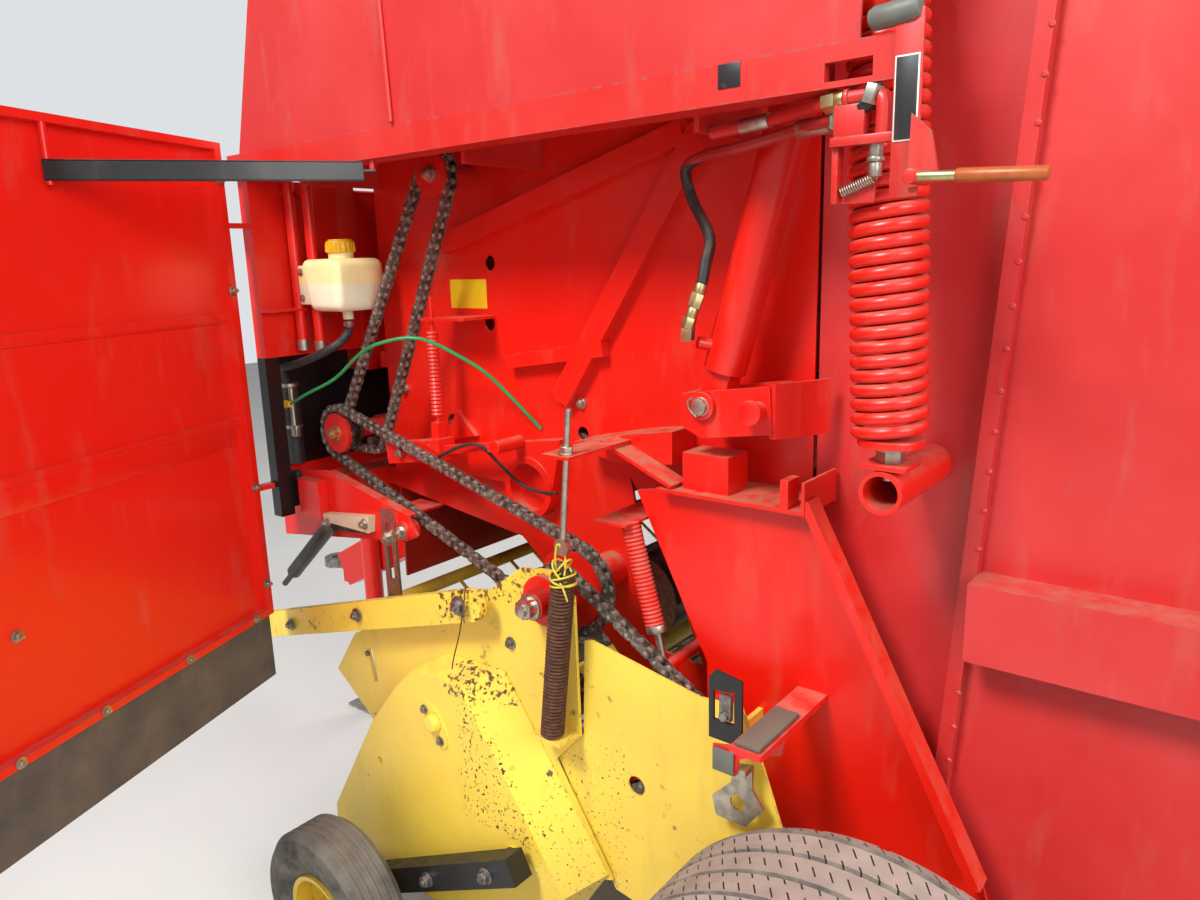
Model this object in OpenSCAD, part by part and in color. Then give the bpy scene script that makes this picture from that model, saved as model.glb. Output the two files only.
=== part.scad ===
// Round baler with a raised left side door: chamber, tailgate, pickup, drive chains, drawbar and wheels.
// X runs rearward from the towing eye, +Y is the machine's right, Z is up. Sizes in mm.
// Heights are written over the ground, and every sub-part is lowered by the towing eye's height.

/* [Overall] */
// Height of the towing eye's middle over the ground
eye_height = 480; // [400:1:560]
// Clear width between the bale chamber's side walls
chamber_width = 1200; // [1000:1:1300]
// Thickness of the chamber's side walls
wall_thick = 6; // [4:0.5:10]
// From the middle plane to the outer face of the top rails
side_reach = 885; // [870:1:930]
// Front face of the body behind the drawbar
body_front = 1050; // [1000:1:1100]
// Seam between the body and the tailgate
seam_x = 2444; // [2400:1:2500]
// Rear end of the tailgate
tail_x = 3500; // [3300:1:3700]
// Top of the roof
roof_z = 2690; // [2600:1:2800]
// Top face of the rails
rail_z = 1968; // [1940:1:1990]

/* [Wheels] */
// Diameter of the main tyres
tyre_d = 830; // [760:1:860]
// Width of the main tyres
tyre_w = 290; // [260:1:320]
// Gap between the rear shields and the main tyres
tyre_gap = 43; // [30:1:60]
// Place of the main axle behind the eye
axle_x = 2697; // [2670:1:2720]
// Diameter of the gauge wheels
gauge_d = 412; // [380:1:440]
// Width of the gauge wheels
gauge_w = 130; // [110:1:140]
// Place of the gauge wheels behind the eye
gauge_x = 1450; // [1430:1:1470]
// From the middle plane to the middle of a gauge wheel
gauge_half = 1045; // [1035:1:1100]

/* [Drawbar and drive] */
// Hole of the towing eye
eye_bore = 50; // [40:1:60]
// Thickness of the towing eye
eye_thick = 34; // [28:1:45]
// Diameter of the driveline stub
stub_d = 34.9; // [30:0.1:45]
// Height of the driveline stub over the ground
stub_z = 1130; // [1050:1:1200]
// Place of the jack behind the eye
jack_x = 420; // [380:1:520]

/* [Doors] */
// Opening angle of the left door
door_open = 67.4; // [60:0.1:80]
// Length of a door from its hinge to its free edge
door_length = 1315; // [1250:1:1340]
// Depth of a door panel with its folded edges
door_depth = 26; // [18:1:30]
// Lower edge of the door panels
door_low = 830; // [800:1:900]
// Upper edge of the door panels
door_high = 1990; // [1975:1:2010]
// Place of the door hinges behind the eye
door_x = 1072; // [1050:1:1085]
// Gap between the rails and a closed door
door_gap = 14; // [8:1:24]

/* [Tailgate] */
// Tailgate hinge behind the eye
gate_x = 2270; // [2200:1:2300]
// Tailgate hinge over the ground
gate_z = 2420; // [2380:1:2460]
// Diameter of the tailgate hinge pins
gate_pin = 50; // [40:1:60]
// Outer diameter of the large tension springs
spring_d = 114; // [100:1:120]
// Wire of the large tension springs
spring_wire = 19; // [14:0.5:22]
// Place of the large springs behind the eye
spring_x = 2660; // [2655:1:2700]
// From the middle plane to the axis of a large spring
spring_y = 800; // [780:1:806]

/* [Lift cylinders] */
// Outer diameter of a barrel
barrel_d = 76; // [60:1:80]
// Diameter of a rod
rod_d = 40; // [30:1:50]
// From the middle plane to the cylinders
cyl_y = 704; // [700:1:710]

/* [Pickup] */
// Height of the pickup's swivel axis over the ground
pivot_z = 1036; // [1015:1:1050]
// Pickup's swivel axis behind the eye
pivot_x = 1975; // [1950:1:1990]
// Height of the tine reel's axis
reel_z = 420; // [400:1:440]
// Tine reel's axis behind the eye
reel_x = 1500; // [1480:1:1530]
// Reach of the tine tips from the reel's axis
tine_reach = 300; // [270:1:310]
// Half of the width that the tines sweep
reel_half = 780; // [700:1:785]

/* [Chain drive] */
// Pitch of the drive chains
chain_pitch = 25.4; // [19.05:0.01:31.75]
// Width over a chain's plates
chain_wide = 22; // [19:1:28]
// Middle plane of the main drive chain from the machine's middle
chain_y = 745; // [738:1:750]

/* [Hidden] */
$fn = 48;
wall_in = chamber_width / 2;
wall_out = wall_in + wall_thick;
axle_z = tyre_d / 2;
shield_y = 803;
shield_thick = 4;
track_half = shield_y + shield_thick + tyre_gap + tyre_w / 2;
gauge_z = gauge_d / 2;
door_y = side_reach + door_gap + door_depth;
red = [0.78, 0.07, 0.05];
dark_red = [0.45, 0.05, 0.04];
yellow = [0.92, 0.76, 0.18];
black = [0.06, 0.06, 0.06];
steel = [0.55, 0.55, 0.56];
zinc = [0.72, 0.72, 0.7];

// Moves a sub-part from heights over the ground to the towing eye's height
module lifted() { translate([0, 0, -eye_height]) children(); }

// Draws a left-hand piece on both sides
module both() {
    children();
    mirror([0, 1, 0]) children();
}

// An outline in X and Z as a plate on the left, from y outward by its thickness
module side_plate(y, thick) {
    translate([0, -y, 0]) rotate([90, 0, 0]) linear_extrude(height = thick) children();
}

// A round bar along Y on the left, from y outward by its length
module cross_pin(x, z, y, r, length) {
    translate([x, -y, z]) rotate([90, 0, 0]) cylinder(r = r, h = length);
}

// A box on the left, from y_near to y_far out from the middle
module side_box(x_low, x_high, y_near, y_far, z_low, z_high) {
    translate([x_low, -y_far, z_low]) cube([x_high - x_low, y_far - y_near, z_high - z_low]);
}

// A flat bar between two points of the X and Z plane
module link_bar(from, to, width) {
    run = to - from;
    translate(from) rotate(atan2(run[1], run[0])) translate([0, -width / 2]) square([norm(run), width]);
}

// A smooth run through hand-picked points, with a few steps in each stretch
function run_point(p, i, t) =
    let (a = p[max(i - 1, 0)], b = p[i], c = p[i + 1], d = p[min(i + 2, len(p) - 1)])
    0.5 * (2 * b + (c - a) * t + (2 * a - 5 * b + 4 * c - d) * t * t + (3 * b - a - 3 * c + d) * t * t * t);
function smooth_run(p, steps) =
    [for (i = [0:len(p) - 2]) for (k = [0:steps - 1]) run_point(p, i, k / steps), p[len(p) - 1]];
function run_way(p, i) =
    let (step = p[min(i + 1, len(p) - 1)] - p[max(i - 1, 0)]) step / norm(step);

// A hose along a run: rings of flat sides, square to the run
module hose(points, r, steps = 4, sides = 10, side_way = [0, 1, 0]) {
    run = smooth_run(points, steps);
    last = len(run) - 1;
    rings = [for (i = [0:last]) let (way = run_way(run, i), across = cross(way, side_way),
        u = across / norm(across),
        v = cross(way, u)) for (k = [0:sides - 1])
            run[i] + r * (cos(k * 360 / sides) * u + sin(k * 360 / sides) * v)];
    polyhedron(rings, concat(
        [[for (k = [0:sides - 1]) k]],
        [for (i = [0:last - 1]) for (k = [0:sides - 1]) let (n = (k + 1) % sides)
            [i * sides + k, (i + 1) * sides + k, (i + 1) * sides + n, i * sides + n]],
        [[for (k = [sides - 1:-1:0]) last * sides + k]]));
}

// Tangent points of a loop around round centres: columns are x, z and radius
function tangent_turn(a, b) = asin((a[2] - b[2]) / norm([b[0] - a[0], b[1] - a[1]]));
function tangent_way(a, b) = atan2(b[1] - a[1], b[0] - a[0]) - 90 + tangent_turn(a, b);
function tangent_point(centre, way, extra) =
    [centre[0] + (centre[2] + extra) * cos(way), centre[1] + (centre[2] + extra) * sin(way)];

// A filled loop around rollers that turns left round every one of them
module loop_area(rollers, extra) {
    count = len(rollers);
    polygon([for (i = [0:count - 1]) let (a = rollers[i], b = rollers[(i + 1) % count],
        way = tangent_way(a, b))
        each [tangent_point(a, way, extra), tangent_point(b, way, extra)]]);
    for (roller = rollers) translate([roller[0], roller[1]]) circle(r = roller[2] + extra);
}

// A band of even thickness around rollers
module loop_band(rollers, inner, outer) {
    difference() {
        loop_area(rollers, outer);
        loop_area(rollers, inner);
    }
}

// Legs of a tangent loop: for each roller the arc over it and the straight to the next one
function loop_way(rollers, i) =
    let (n = len(rollers)) tangent_way(rollers[(i + n) % n], rollers[(i + 1 + n) % n]);
function loop_sweep(rollers, i) = (loop_way(rollers, i) - loop_way(rollers, i - 1) + 720) % 360;
function loop_straight(rollers, i) =
    let (n = len(rollers), a = rollers[i], b = rollers[(i + 1) % n], way = loop_way(rollers, i))
    norm(tangent_point(b, way, 0) - tangent_point(a, way, 0));
function loop_legs(rollers) = [for (i = [0:len(rollers) - 1])
    each [rollers[i][2] * loop_sweep(rollers, i) * PI / 180, loop_straight(rollers, i)]];
function total(list, i = 0) = i >= len(list) ? 0 : list[i] + total(list, i + 1);
function leg_at(legs, s, i = 0) = s <= legs[i] || i == len(legs) - 1 ? [i, s] : leg_at(legs, s - legs[i],
    i + 1);
function loop_place(rollers, legs, s, out) =
    let (at = leg_at(legs, s), i = floor(at[0] / 2), a = rollers[i], arc = at[0] % 2 == 0,
        way = arc ? loop_way(rollers, i - 1) + at[1] / a[2] * 180 / PI : loop_way(rollers, i),
        start = tangent_point(a, way, out))
    arc ? start : start + at[1] * [-sin(way), cos(way)];

// Outline of a chain: a bulge at each pin and a waist between two pins
module chain_outline(rollers, bulge, waist) {
    legs = loop_legs(rollers);
    links = round(total(legs) / chain_pitch);
    polygon([for (k = [0:2 * links - 1])
        loop_place(rollers, legs, k * total(legs) / (2 * links), k % 2 == 0 ? bulge : waist)]);
}

// A closed chain in the plane y, with its links in its outline
module chain_loop(rollers, y) {
    side_plate(y - chain_wide / 2, chain_wide) difference() {
        chain_outline(rollers, chain_half, chain_half - 2.5);
        chain_outline(rollers, -chain_half, -chain_half + 2.5);
    }
}

/* [Hidden] */
// Drawbar: a centre beam that rises from the eye, with two spread arms and a front cross beam
beam_half = 60;
beam_end_x = 1130;
beam_end_z = 1010;
cross_beam_x = [1110, 1200];
cross_beam_z = [1070, 1170];

module drawbar() {
    slope = atan2(beam_end_z - eye_height, beam_end_x - 120);
    reach = norm([beam_end_x - 120, beam_end_z - eye_height]);
    lifted() color(red) difference() {
        drawbar_beams(slope, reach);
        translate([cross_beam_x[0], -600, 700]) cube([300, 1200, 600]);
    }
}

module drawbar_beams(slope, reach) {
    union() {
        translate([120, 0, eye_height]) rotate([0, -slope, 0]) difference() {
            translate([0, -beam_half, -70]) cube([reach, 2 * beam_half, 140]);
            translate([20, -beam_half + 8, -62]) cube([reach, 2 * beam_half - 16, 124]);
        }
        translate([gearbox_x - 80, -80, 900]) cube([170, 160, gearbox_foot_z - 900]);
        // Nose plate that the eye bolts on
        translate([96, -45, eye_height - 60]) cube([60, 90, 120]);
        for (side = [-1, 1]) translate([560, side * 40, 705]) rotate([0, -slope, side * 32])
            translate([0, -35, -45]) cube([760, 70, 90]);
    }
}

module towing_eye() {
    lifted() color(steel) difference() {
        union() {
            translate([0, 0, eye_height - eye_thick / 2]) cylinder(d = eye_bore + 62, h = eye_thick);
            translate([0, -28, eye_height - eye_thick / 2]) cube([96, 56, eye_thick]);
        }
        translate([0, 0, eye_height - eye_thick]) cylinder(d = eye_bore, h = 2 * eye_thick);
    }
}

// Jack: a round tube on the beam's left side with a screw leg and foot
jack_y = 130;
jack_tube_r = 35;
jack_leg_r = 27;

module jack_tube() {
    lifted() color(red) union() {
        difference() {
            translate([jack_x, -jack_y, 300]) cylinder(r = jack_tube_r, h = 560);
            translate([jack_x, -jack_y, 200]) cylinder(r = jack_leg_r + 1, h = 620);
        }
        translate([jack_x - 40, -jack_y + jack_tube_r - 8, 560])
            cube([80, jack_y - jack_tube_r + 8 - beam_half, 120]);
        translate([jack_x, -jack_y, 830]) rotate([0, 90, 0]) translate([0, 0, -70])
            cylinder(r = 11, h = 140);
        translate([jack_x - 70, -jack_y, 830]) rotate([90, 0, 0]) cylinder(r = 8, h = 110);
    }
}

module jack_leg() {
    lifted() color(zinc) union() {
        translate([jack_x, -jack_y, 8]) cylinder(r = jack_leg_r, h = 460);
        translate([jack_x - 110, -jack_y - 90, 0]) cube([220, 180, 10]);
    }
}

// Gearbox on the drawbar with the stub forward and the cross shaft to the left
drive_x = 1203;
drive_z = 1287;
gearbox_x = 930;
gearbox_foot_z = 1045;

module gearbox() {
    lifted() color(dark_red) union() {
        translate([gearbox_x - 100, -105, gearbox_foot_z]) cube([200, 210, 195]);
        translate([gearbox_x - 60, -90, stub_z + 60]) cube([drive_x + 80 - gearbox_x, 180, 190]);
        translate([gearbox_x - 150, 0, stub_z]) rotate([0, 90, 0]) cylinder(r = 70, h = 60);
        translate([gearbox_x - 260, 0, stub_z]) rotate([0, 90, 0]) cylinder(d = stub_d, h = 170);
        cross_pin(drive_x, drive_z, 80, 27, wall_out + 24 - 80);
    }
}

// Front frame: cross beam, end plates, posts, front sheet and two upright pipes
hinge_z = [1162, 1812];
hinge_pin_r = 5;
post_x = [1050, 1086];
frame_side = 792;
sheet_x = [1085, 1091];
guard_top = 1484;

module front_frame() {
    lifted() color(red) union() {
        translate([cross_beam_x[0], -side_reach + 60, cross_beam_z[0]])
            cube([cross_beam_x[1] - cross_beam_x[0], 2 * side_reach - 120,
                cross_beam_z[1] - cross_beam_z[0]]);
        both() {
            side_box(post_x[0], post_x[1], 826, side_reach - 20, cross_beam_z[0], rail_z - rail_high);
            side_box(post_x[0], post_x[1], frame_side, 828, cross_beam_z[0] + 20, cross_beam_z[1]);
            side_box(cross_beam_x[1] - 1, 1236, wall_in, wall_out, 1121, cross_beam_z[1]);
            side_plate(frame_side, 8) polygon([
                [985, 990], [1480, 1060], [1548, 1084], [1516, 1129], [1203, 1196], [985, 1172]]);
            side_plate(frame_side - 20, 24) link_bar([1203, 1192], [1516, 1125], 5);
            cross_pin(1500, 1088, frame_side - 22, 24, 36);
            side_box(1330, 1420, wall_out, frame_side + 4, 1090, 1096);
            // Front sheet with its ledge, and the guard in front of the drive
            side_box(sheet_x[0], sheet_x[1], box_half + 1, side_reach - 20, guard_top, rail_z - rail_high);
            side_box(sheet_x[1] - 1, 1125, 755, 868, 1597, 1603);
            side_box(994, 1000, box_half + 1, 808, 1100, guard_top);
            side_box(994, sheet_x[1], box_half + 1, 830, guard_top, guard_top + 6);
            side_box(994, 1000, 300, box_half + 2, 1100, box_z[0] - 0.5);
            for (pipe = [[1112, 769], [1152, 745]])
                translate([pipe[0], -pipe[1], 1500]) cylinder(r = 13, h = rail_z - 1500 - 30);
            for (pipe = [[1112, 769], [1152, 745]])
                side_box(sheet_x[1] - 1, pipe[0], pipe[1] - 8, pipe[1] + 8, 1880, 1890);
        }
        translate([1230, -wall_in, 1440]) cube([6, 2 * wall_in, rail_z - 1440]);
        for (z = [1440, rail_z - 60]) translate([1200, -wall_in, z]) cube([30, 2 * wall_in, 40]);
        for (y = [-500, 450]) translate([box_x[1], y, 1450]) cube([1232 - box_x[1], 50, 50]);
        // Hinge ears and pins of the side doors
        both() for (z = hinge_z) translate([0, 0, z - 12]) {
            translate([door_x - 20, -door_y, 0]) cube([28, door_y - side_reach + 22, 11.7]);
            translate([door_x, -door_y, 0]) cylinder(r = 9, h = 11.7);
            translate([door_x, -door_y, 0]) cylinder(r = hinge_pin_r, h = 60);
        }
    }
}

// Twine box across the front with a lid that opens upward
box_x = [700, 1085];
box_z = [1420, 1890];
box_half = 560;
lid_x = 1079;
lid_z = 1896;

module twine_box() {
    lifted() color(red) difference() {
        translate([box_x[0], -box_half, box_z[0]]) cube([box_x[1] - box_x[0], 2 * box_half,
            box_z[1] - box_z[0]]);
        translate([box_x[0] + 8, -box_half + 8, box_z[0] + 8])
            cube([box_x[1] - box_x[0] - 16, 2 * box_half - 16, box_z[1] - box_z[0]]);
    }
}

module twine_lid() {
    lifted() color(red) translate([lid_x, box_half, lid_z]) rotate([90, 0, 0])
        cylinder(r = 5.7, h = 2 * box_half);
    lifted() color(red) difference() {
        translate([box_x[0] - 12, -box_half - 12, box_z[1] - 30])
            cube([box_x[1] - box_x[0] + 6, 2 * box_half + 24, 36]);
        translate([box_x[0] - 6, -box_half - 6, box_z[1] - 40])
            cube([box_x[1] - box_x[0] + 20, 2 * box_half + 12, 40.3]);
    }
}

// Body wall: outline in X and Z
wall_outline = [
    [1236, 1120], [1236, 1940], [1420, 2240], [1700, 2380], [2060, 2420], [2200, 2480], [2340, 2480],
    [2360, 2300], [seam_x - 4, 2260], [seam_x - 4, 640], [2240, 560], [2120, 700], [1960, 860], [1700, 1060]
];
// Side frame plate under the shelf, out on the axle: outline in X and Z
frame_plate_y = 700;
frame_plate = [
    [2120, 1258], [2216, 1276], [2490, 1276], [2492, 1295], [2797, 700], [2830, 600], [2800, 330],
        [2600, 330],
    [2420, 480], [2300, 620], [2280, 890], [2280, 938]
];
// Round holes in the body wall: x, z, radius
wall_holes = [[1638, 1701, 17], [1627, 1564, 17], [1478, 1320, 18], [1900, 1330, 16]];
// Stiffeners on the wall: from x, from z, to x, to z, width
wall_bars = [
    [1507, 1746, 2180, 1927, 44], [1855, 1404, 2216, 1924, 50], [1700, 1480, 1980, 1520, 30]
];

module body_wall() {
    difference() {
        side_plate(wall_in, wall_thick) polygon(wall_outline);
        for (hole = wall_holes) cross_pin(hole[0], hole[1], wall_in - 10, hole[2], 40);
        cross_pin(gate_x, gate_z, wall_in - 10, gate_pin / 2 + 4, 40);
        side_plate(wall_in - 10, 40) polygon([[2027, 1251], [2100, 1143], [2208, 867], [2107, 874]]);
    }
    for (bar = wall_bars) side_plate(wall_out, 26) link_bar([bar[0], bar[1]], [bar[2], bar[3]], bar[4]);
    // Hub that the pickup swings on
    cross_pin(pivot_x, pivot_z, wall_in, pivot_hub_r, hub_end - wall_in);
    cross_pin(pivot_x, pivot_z, hub_end - 14, 52, 14);
    // Doubling plate with a bearing ring, and a gusset in front of it
    side_plate(wall_out, doubler_thick) difference() {
        polygon([[1478, 1200], [1829, 1195], [1859, 1317], [1603, 1278], [1482, 1239]]);
        translate([1757, 1195]) circle(r = 56);
    }
    difference() {
        cross_pin(1757, 1195, wall_out, 72, doubler_thick + 4);
        cross_pin(1757, 1195, wall_out + 4, 56, 60);
    }
    side_plate(wall_out, 14) polygon([[1467, 1272], [1508, 1352], [1570, 1293]]);
    // Shelf over the frame plate: a beam, a rising ledge with its tab, and a level part
    side_plate(wall_out, 84) polygon([[1940, 1325], [1940, 1331], [2080, 1361], [2192, 1378],
        [2191, 1314], [2060, 1300]]);
    side_plate(688, 54) link_bar([2060, 1354], [2222, 1285], 7);
    difference() {
        side_box(2027, 2094, 690, 880, 1347, 1353);
        translate([2066.3, -860, 1290]) rotate([0, 5.6, 0]) cylinder(r = 6.9, h = 100);
    }
    side_box(2190, seam_x - 4, wall_out, 742, 1273, 1280);
    side_box(seam_x - 5, 2490, 616, 742, 1273, 1280);
    side_box(2484, 2490, 616, 742, 1273, 1330);
    side_box(2445, 2460, 700, 742, 1279, 1330);
    side_box(2235, 2332, 650, 720, 1279, 1350);
    side_plate(frame_plate_y, 8) difference() {
        polygon(frame_plate);
        translate([axle_x, axle_z]) circle(r = spindle_r + 0.3);
    }
    // Diagonal flange along the rear edge of the frame plate
    side_plate(frame_plate_y, 40) link_bar([2488, 1296], [2797, 700], 16);
    // Distance plates between wall and frame plate
    for (x = [2300, 2400]) side_box(x, x + 8, wall_out, frame_plate_y, 700, 1274);
}

module side_walls() { lifted() color(red) both() union() body_wall(); }

// Rollers at the chamber's mouth: x, z, radius
mouth_rollers = [[2040, 980, 95], [2190, 690, 100], [1880, 1260, 70]];

module throat_rollers() {
    lifted() color(steel) for (roller = mouth_rollers) {
        translate([roller[0], wall_in - 4, roller[1]]) rotate([90, 0, 0])
            cylinder(r = roller[2], h = 2 * wall_in - 8);
        translate([roller[0], wall_in - fit, roller[1]]) rotate([90, 0, 0])
            cylinder(r = 24, h = 2 * (wall_in - fit));
    }
}

spindle_r = 38;
pivot_hub_r = 40;
hub_end = 840;
doubler_thick = 30;
pick_plate_y = 812;

module axle() {
    lifted() color(black) union() {
        translate([axle_x - 50, -frame_plate_y, axle_z - 50]) cube([100, 2 * frame_plate_y, 100]);
        both() {
            cross_pin(axle_x, axle_z, frame_plate_y - 20, spindle_r, 170);
            cross_pin(axle_x, axle_z, frame_plate_y + 130, 29.6, track_half - frame_plate_y - 90);
        }
    }
}

// Top rails on both sides with their brackets from the walls
rail_depth = 60;
rail_high = 55;
rail_end = 2560;

module top_rails() {
    lifted() color(red) {
        translate([stay_rail_x, -stay_rail_y + 6, stay_z + 5.3])
            cylinder(r = stay_bolt_r, h = rail_z - rail_high - stay_z);
    }
    lifted() color(red) both() {
        side_box(body_front, rail_end, side_reach - rail_depth, side_reach, rail_z - rail_high, rail_z);
        difference() {
            side_box(rail_end - 1, rail_end + 120, side_reach - 14, side_reach, rail_z - rail_high, rail_z);
            side_box(2572, 2638, side_reach - 20, side_reach + 5, 1921, 1945);
        }
        for (x = [1250, 1800, 2330]) side_box(x, x + 10, wall_out, side_reach - rail_depth, rail_z - 78,
            rail_z - 8);
    }
}

// Upper cover: front, roof and side sheets over the rails
cover_sheet = 5;
cover_rear = 2620;
roof_rear = 2120;
cover_outline = [
    [1108, rail_z], [1330, roof_z - 60], [1420, roof_z], [roof_rear, roof_z], [cover_rear, roof_z - 50],
    [cover_rear, rail_z]
];

module upper_cover() {
    lifted() color(red) union() {
        both() side_plate(side_reach - cover_sheet, cover_sheet) polygon(cover_outline);
        both() side_plate(640, side_reach - 640 - 1) polygon([
            [roof_rear - 4, roof_z], [cover_rear, roof_z - 50], [cover_rear, roof_z - 55],
                [roof_rear - 4, roof_z - 6]]);
        side_plate(-side_reach + cover_sheet, 2 * (side_reach - cover_sheet)) polygon([
            [1108, rail_z], [1330, roof_z - 60], [1420, roof_z], [roof_rear, roof_z],
            [roof_rear, roof_z - 6], [1423, roof_z - 6], [1335, roof_z - 65], [1114, rail_z]]);
    }
}

// Lift cylinders: foot pin on the body, eye on the tailgate's arm
foot_x = 2298;
foot_z = 1446;
head_x = 2547;
head_z = 2300;
cyl_lean = atan2(head_x - foot_x, head_z - foot_z);
cyl_length = norm([head_x - foot_x, head_z - foot_z]);
barrel_length = 640;
foot_pin = 30;
head_pin = 28;
port_up = 102;
port_out = 60;
port_turn = 45;
port_end = [foot_x + port_up * sin(cyl_lean) - port_out * cos(port_turn) * cos(cyl_lean),
    -cyl_y - port_out * sin(port_turn),
        foot_z + port_up * cos(cyl_lean) + port_out * cos(port_turn) * sin(cyl_lean)];
fit = 0.3;

module cylinder_brackets() {
    lifted() color(red) both() {
        for (y = [660, 738]) side_plate(y, 10) difference() {
            polygon([[2251, 1405], [2262, 1466], [2426, 1488], [2431, 1407], [2293, 1387]]);
            translate([foot_x, foot_z]) circle(d = foot_pin - 2);
        }
        side_box(2251, 2261, wall_out, 748, 1405, 1464);
        translate([0, 0, 1398]) linear_extrude(height = 94) polygon([
            [2424, -742], [2434, -742], [2460, -698], [2486, -640], [2478, -636], [2452, -694]]);
        cross_pin(2406, 1446, wall_out, 16, 164);
        side_box(2300, 2420, wall_out, 666, 1400, 1408);
        cross_pin(foot_x, foot_z, 655, foot_pin / 2, 102);
    }
}

module barrel(side) {
    lifted() color(red) translate([foot_x, side * cyl_y, foot_z]) rotate([0, cyl_lean, 0])
        difference() {
            union() {
                translate([0, 0, 62]) cylinder(d = barrel_d, h = barrel_length - 62);
                translate([-24, -22, -5]) cube([48, 44, 70]);
                translate([0, 22, 0]) rotate([90, 0, 0]) cylinder(r = 30, h = 44);
                // Port towards the front and outward
                translate([0, 0, port_up]) rotate([0, 0, -side * port_turn]) rotate([0, -90, 0])
                    cylinder(r = 11, h = port_out);
            }
            translate([0, 40, 0]) rotate([90, 0, 0]) cylinder(d = foot_pin + 2 * fit, h = 80);
            translate([0, 0, 80]) cylinder(d = rod_d + 2 * fit, h = barrel_length);
        }
}

module rod(side) {
    lifted() color(zinc) translate([foot_x, side * cyl_y, foot_z]) rotate([0, cyl_lean, 0])
        union() {
            translate([0, 0, 90]) cylinder(d = rod_d, h = cyl_length - 110);
            translate([0, 20, cyl_length]) rotate([90, 0, 0]) cylinder(r = 32, h = 40);
            // Eye pin towards the tailgate's arm, which it only faces
            for (turn = [-90, 90]) translate([0, 0, cyl_length]) rotate([turn, 0, 0])
                cylinder(d = head_pin, h = 30);
            translate([0, -side * 18, cyl_length]) rotate([side * 90, 0, 0])
                cylinder(d = head_pin, h = cyl_y - 18 - wall_out - 20 - 0.5);
        }
}

module barrel_left() { barrel(-1); }
module rod_left() { rod(-1); }
module barrel_right() { barrel(1); }
module rod_right() { rod(1); }

// Side door panel, drawn closed on the left with its hinge line at the origin
door_lip = 3;
door_rib_z = [1592, 1341];

module door_panel() {
    length = door_length;
    difference() {
        translate([12, 0, door_low]) cube([length - 12, door_depth, door_high - door_low]);
        translate([door_lip + 30, door_lip, door_low + 16])
            cube([length - 2 * door_lip - 50, door_depth, door_high - door_low - 32]);
    }
    for (z = door_rib_z) translate([20, door_lip - 1, z - 8]) cube([length - 30, 8, 16]);
    for (z = hinge_z) translate([0, 0, z]) difference() {
        union() {
            cylinder(r = 9, h = 36);
            cube([14, 9, 36]);
        }
        translate([0, 0, -1]) cylinder(r = hinge_pin_r + fit, h = 40);
    }
    // Bolt that the stay bar turns on
    translate([stay_door_s, stay_off, stay_z - 24]) cylinder(r = stay_bolt_r,
        h = door_high - 16 - stay_z + 25);
}

module door_hung(side, angle) {
    lifted() mirror([0, side > 0 ? 1 : 0, 0]) translate([door_x, -door_y, 0]) rotate([0, 0, -angle])
        children();
}

module door_left() { door_hung(-1, door_open) color(red) door_panel(); }
module door_right() { door_hung(1, 0) color(red) door_panel(); }

flap_low = 655;
flap_length = 1120;

module flap_sheet() {
    translate([12, door_lip + 2, flap_low]) cube([flap_length, 5, door_low - flap_low]);
}

module flap_left() { door_hung(-1, door_open) color(black) flap_sheet(); }
module flap_right() { door_hung(1, 0) color(black) flap_sheet(); }

// Stay bar: from a bolt on the door to a bolt under the rail
stay_door_s = 480;
stay_off = 20;
stay_bolt_r = 6;
stay_rail_x = 1587;
stay_rail_y = 878;
stay_z = 1888;

module stay_bar() {
    start = [door_x + stay_door_s * cos(door_open) + stay_off * sin(door_open),
             -door_y - stay_door_s * sin(door_open) + stay_off * cos(door_open)];
    run = [stay_rail_x, -stay_rail_y] - start;
    lifted() color(black) translate([start[0], start[1], stay_z]) rotate(atan2(run[1], run[0]))
        difference() {
        union() {
            translate([-8, -9, 0]) cube([norm(run) + 18, 18, 5]);
            translate([10, 5, -18]) cube([norm(run), 4, 20]);
        }
        translate([0, 0, -30]) cylinder(r = stay_bolt_r + fit, h = 60);
    }
}

// Tailgate: side walls, seam strips, ribs, hinge arms and cross members
gate_outline = [
    [seam_x + 4, 2250], [seam_x + 4, roof_z - 35], [2620, roof_z - 65], [3000, 2430], [3330, 2180],
        [tail_x - 20, 1700], [tail_x - 20, 1180],
    [3260, 720], [2900, 560], [2700, 545], [seam_x + 4, 640]
];

module gate_wall() {
    side_plate(wall_in, wall_thick) polygon(gate_outline);
    side_plate(wall_out, 24) link_bar([2694, 690], [2796, 2290], 24);
    side_box(2738, tail_x - 60, wall_out, wall_out + 72, 1058, 1188);
    side_plate(wall_out + 6, 14) polygon([
        [gate_x - 60, gate_z - 20], [gate_x - 30, gate_z + 50], [gate_x + 40, gate_z + 50],
        [2700, 2350], [2700, 2220], [2480, 2240], [gate_x + 20, gate_z - 60]]);
    side_box(2460, 2700, wall_out - 1, wall_out + 8, 2240, 2340);
    cross_pin(gate_x, gate_z, wall_in - 20, gate_pin / 2, 44);
}

module tailgate() {
    lifted() color(red) union() {
        both() gate_wall();
        // Top sheet behind the roof
        side_plate(-590, 1180) polygon([
            [2135, roof_z - 6], [2236, roof_z - 6], [2236, roof_z - 15], [2135, roof_z - 15]]);
        side_plate(-630, 1260) polygon([
            [2232, roof_z - 6], [2448, roof_z - 26], [2622, roof_z - 56], [3002, 2439], [3000, 2430],
                [2620, roof_z - 65],
            [2448, roof_z - 35], [2232, roof_z - 15]]);
        for (bar = [[2760, 2180], [3240, 1900], [3240, 1400], [2900, 900]])
            translate([bar[0] - 25, -wall_in - 1, bar[1] - 25]) cube([50, 2 * wall_in + 2, 50]);
    }
}

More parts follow.
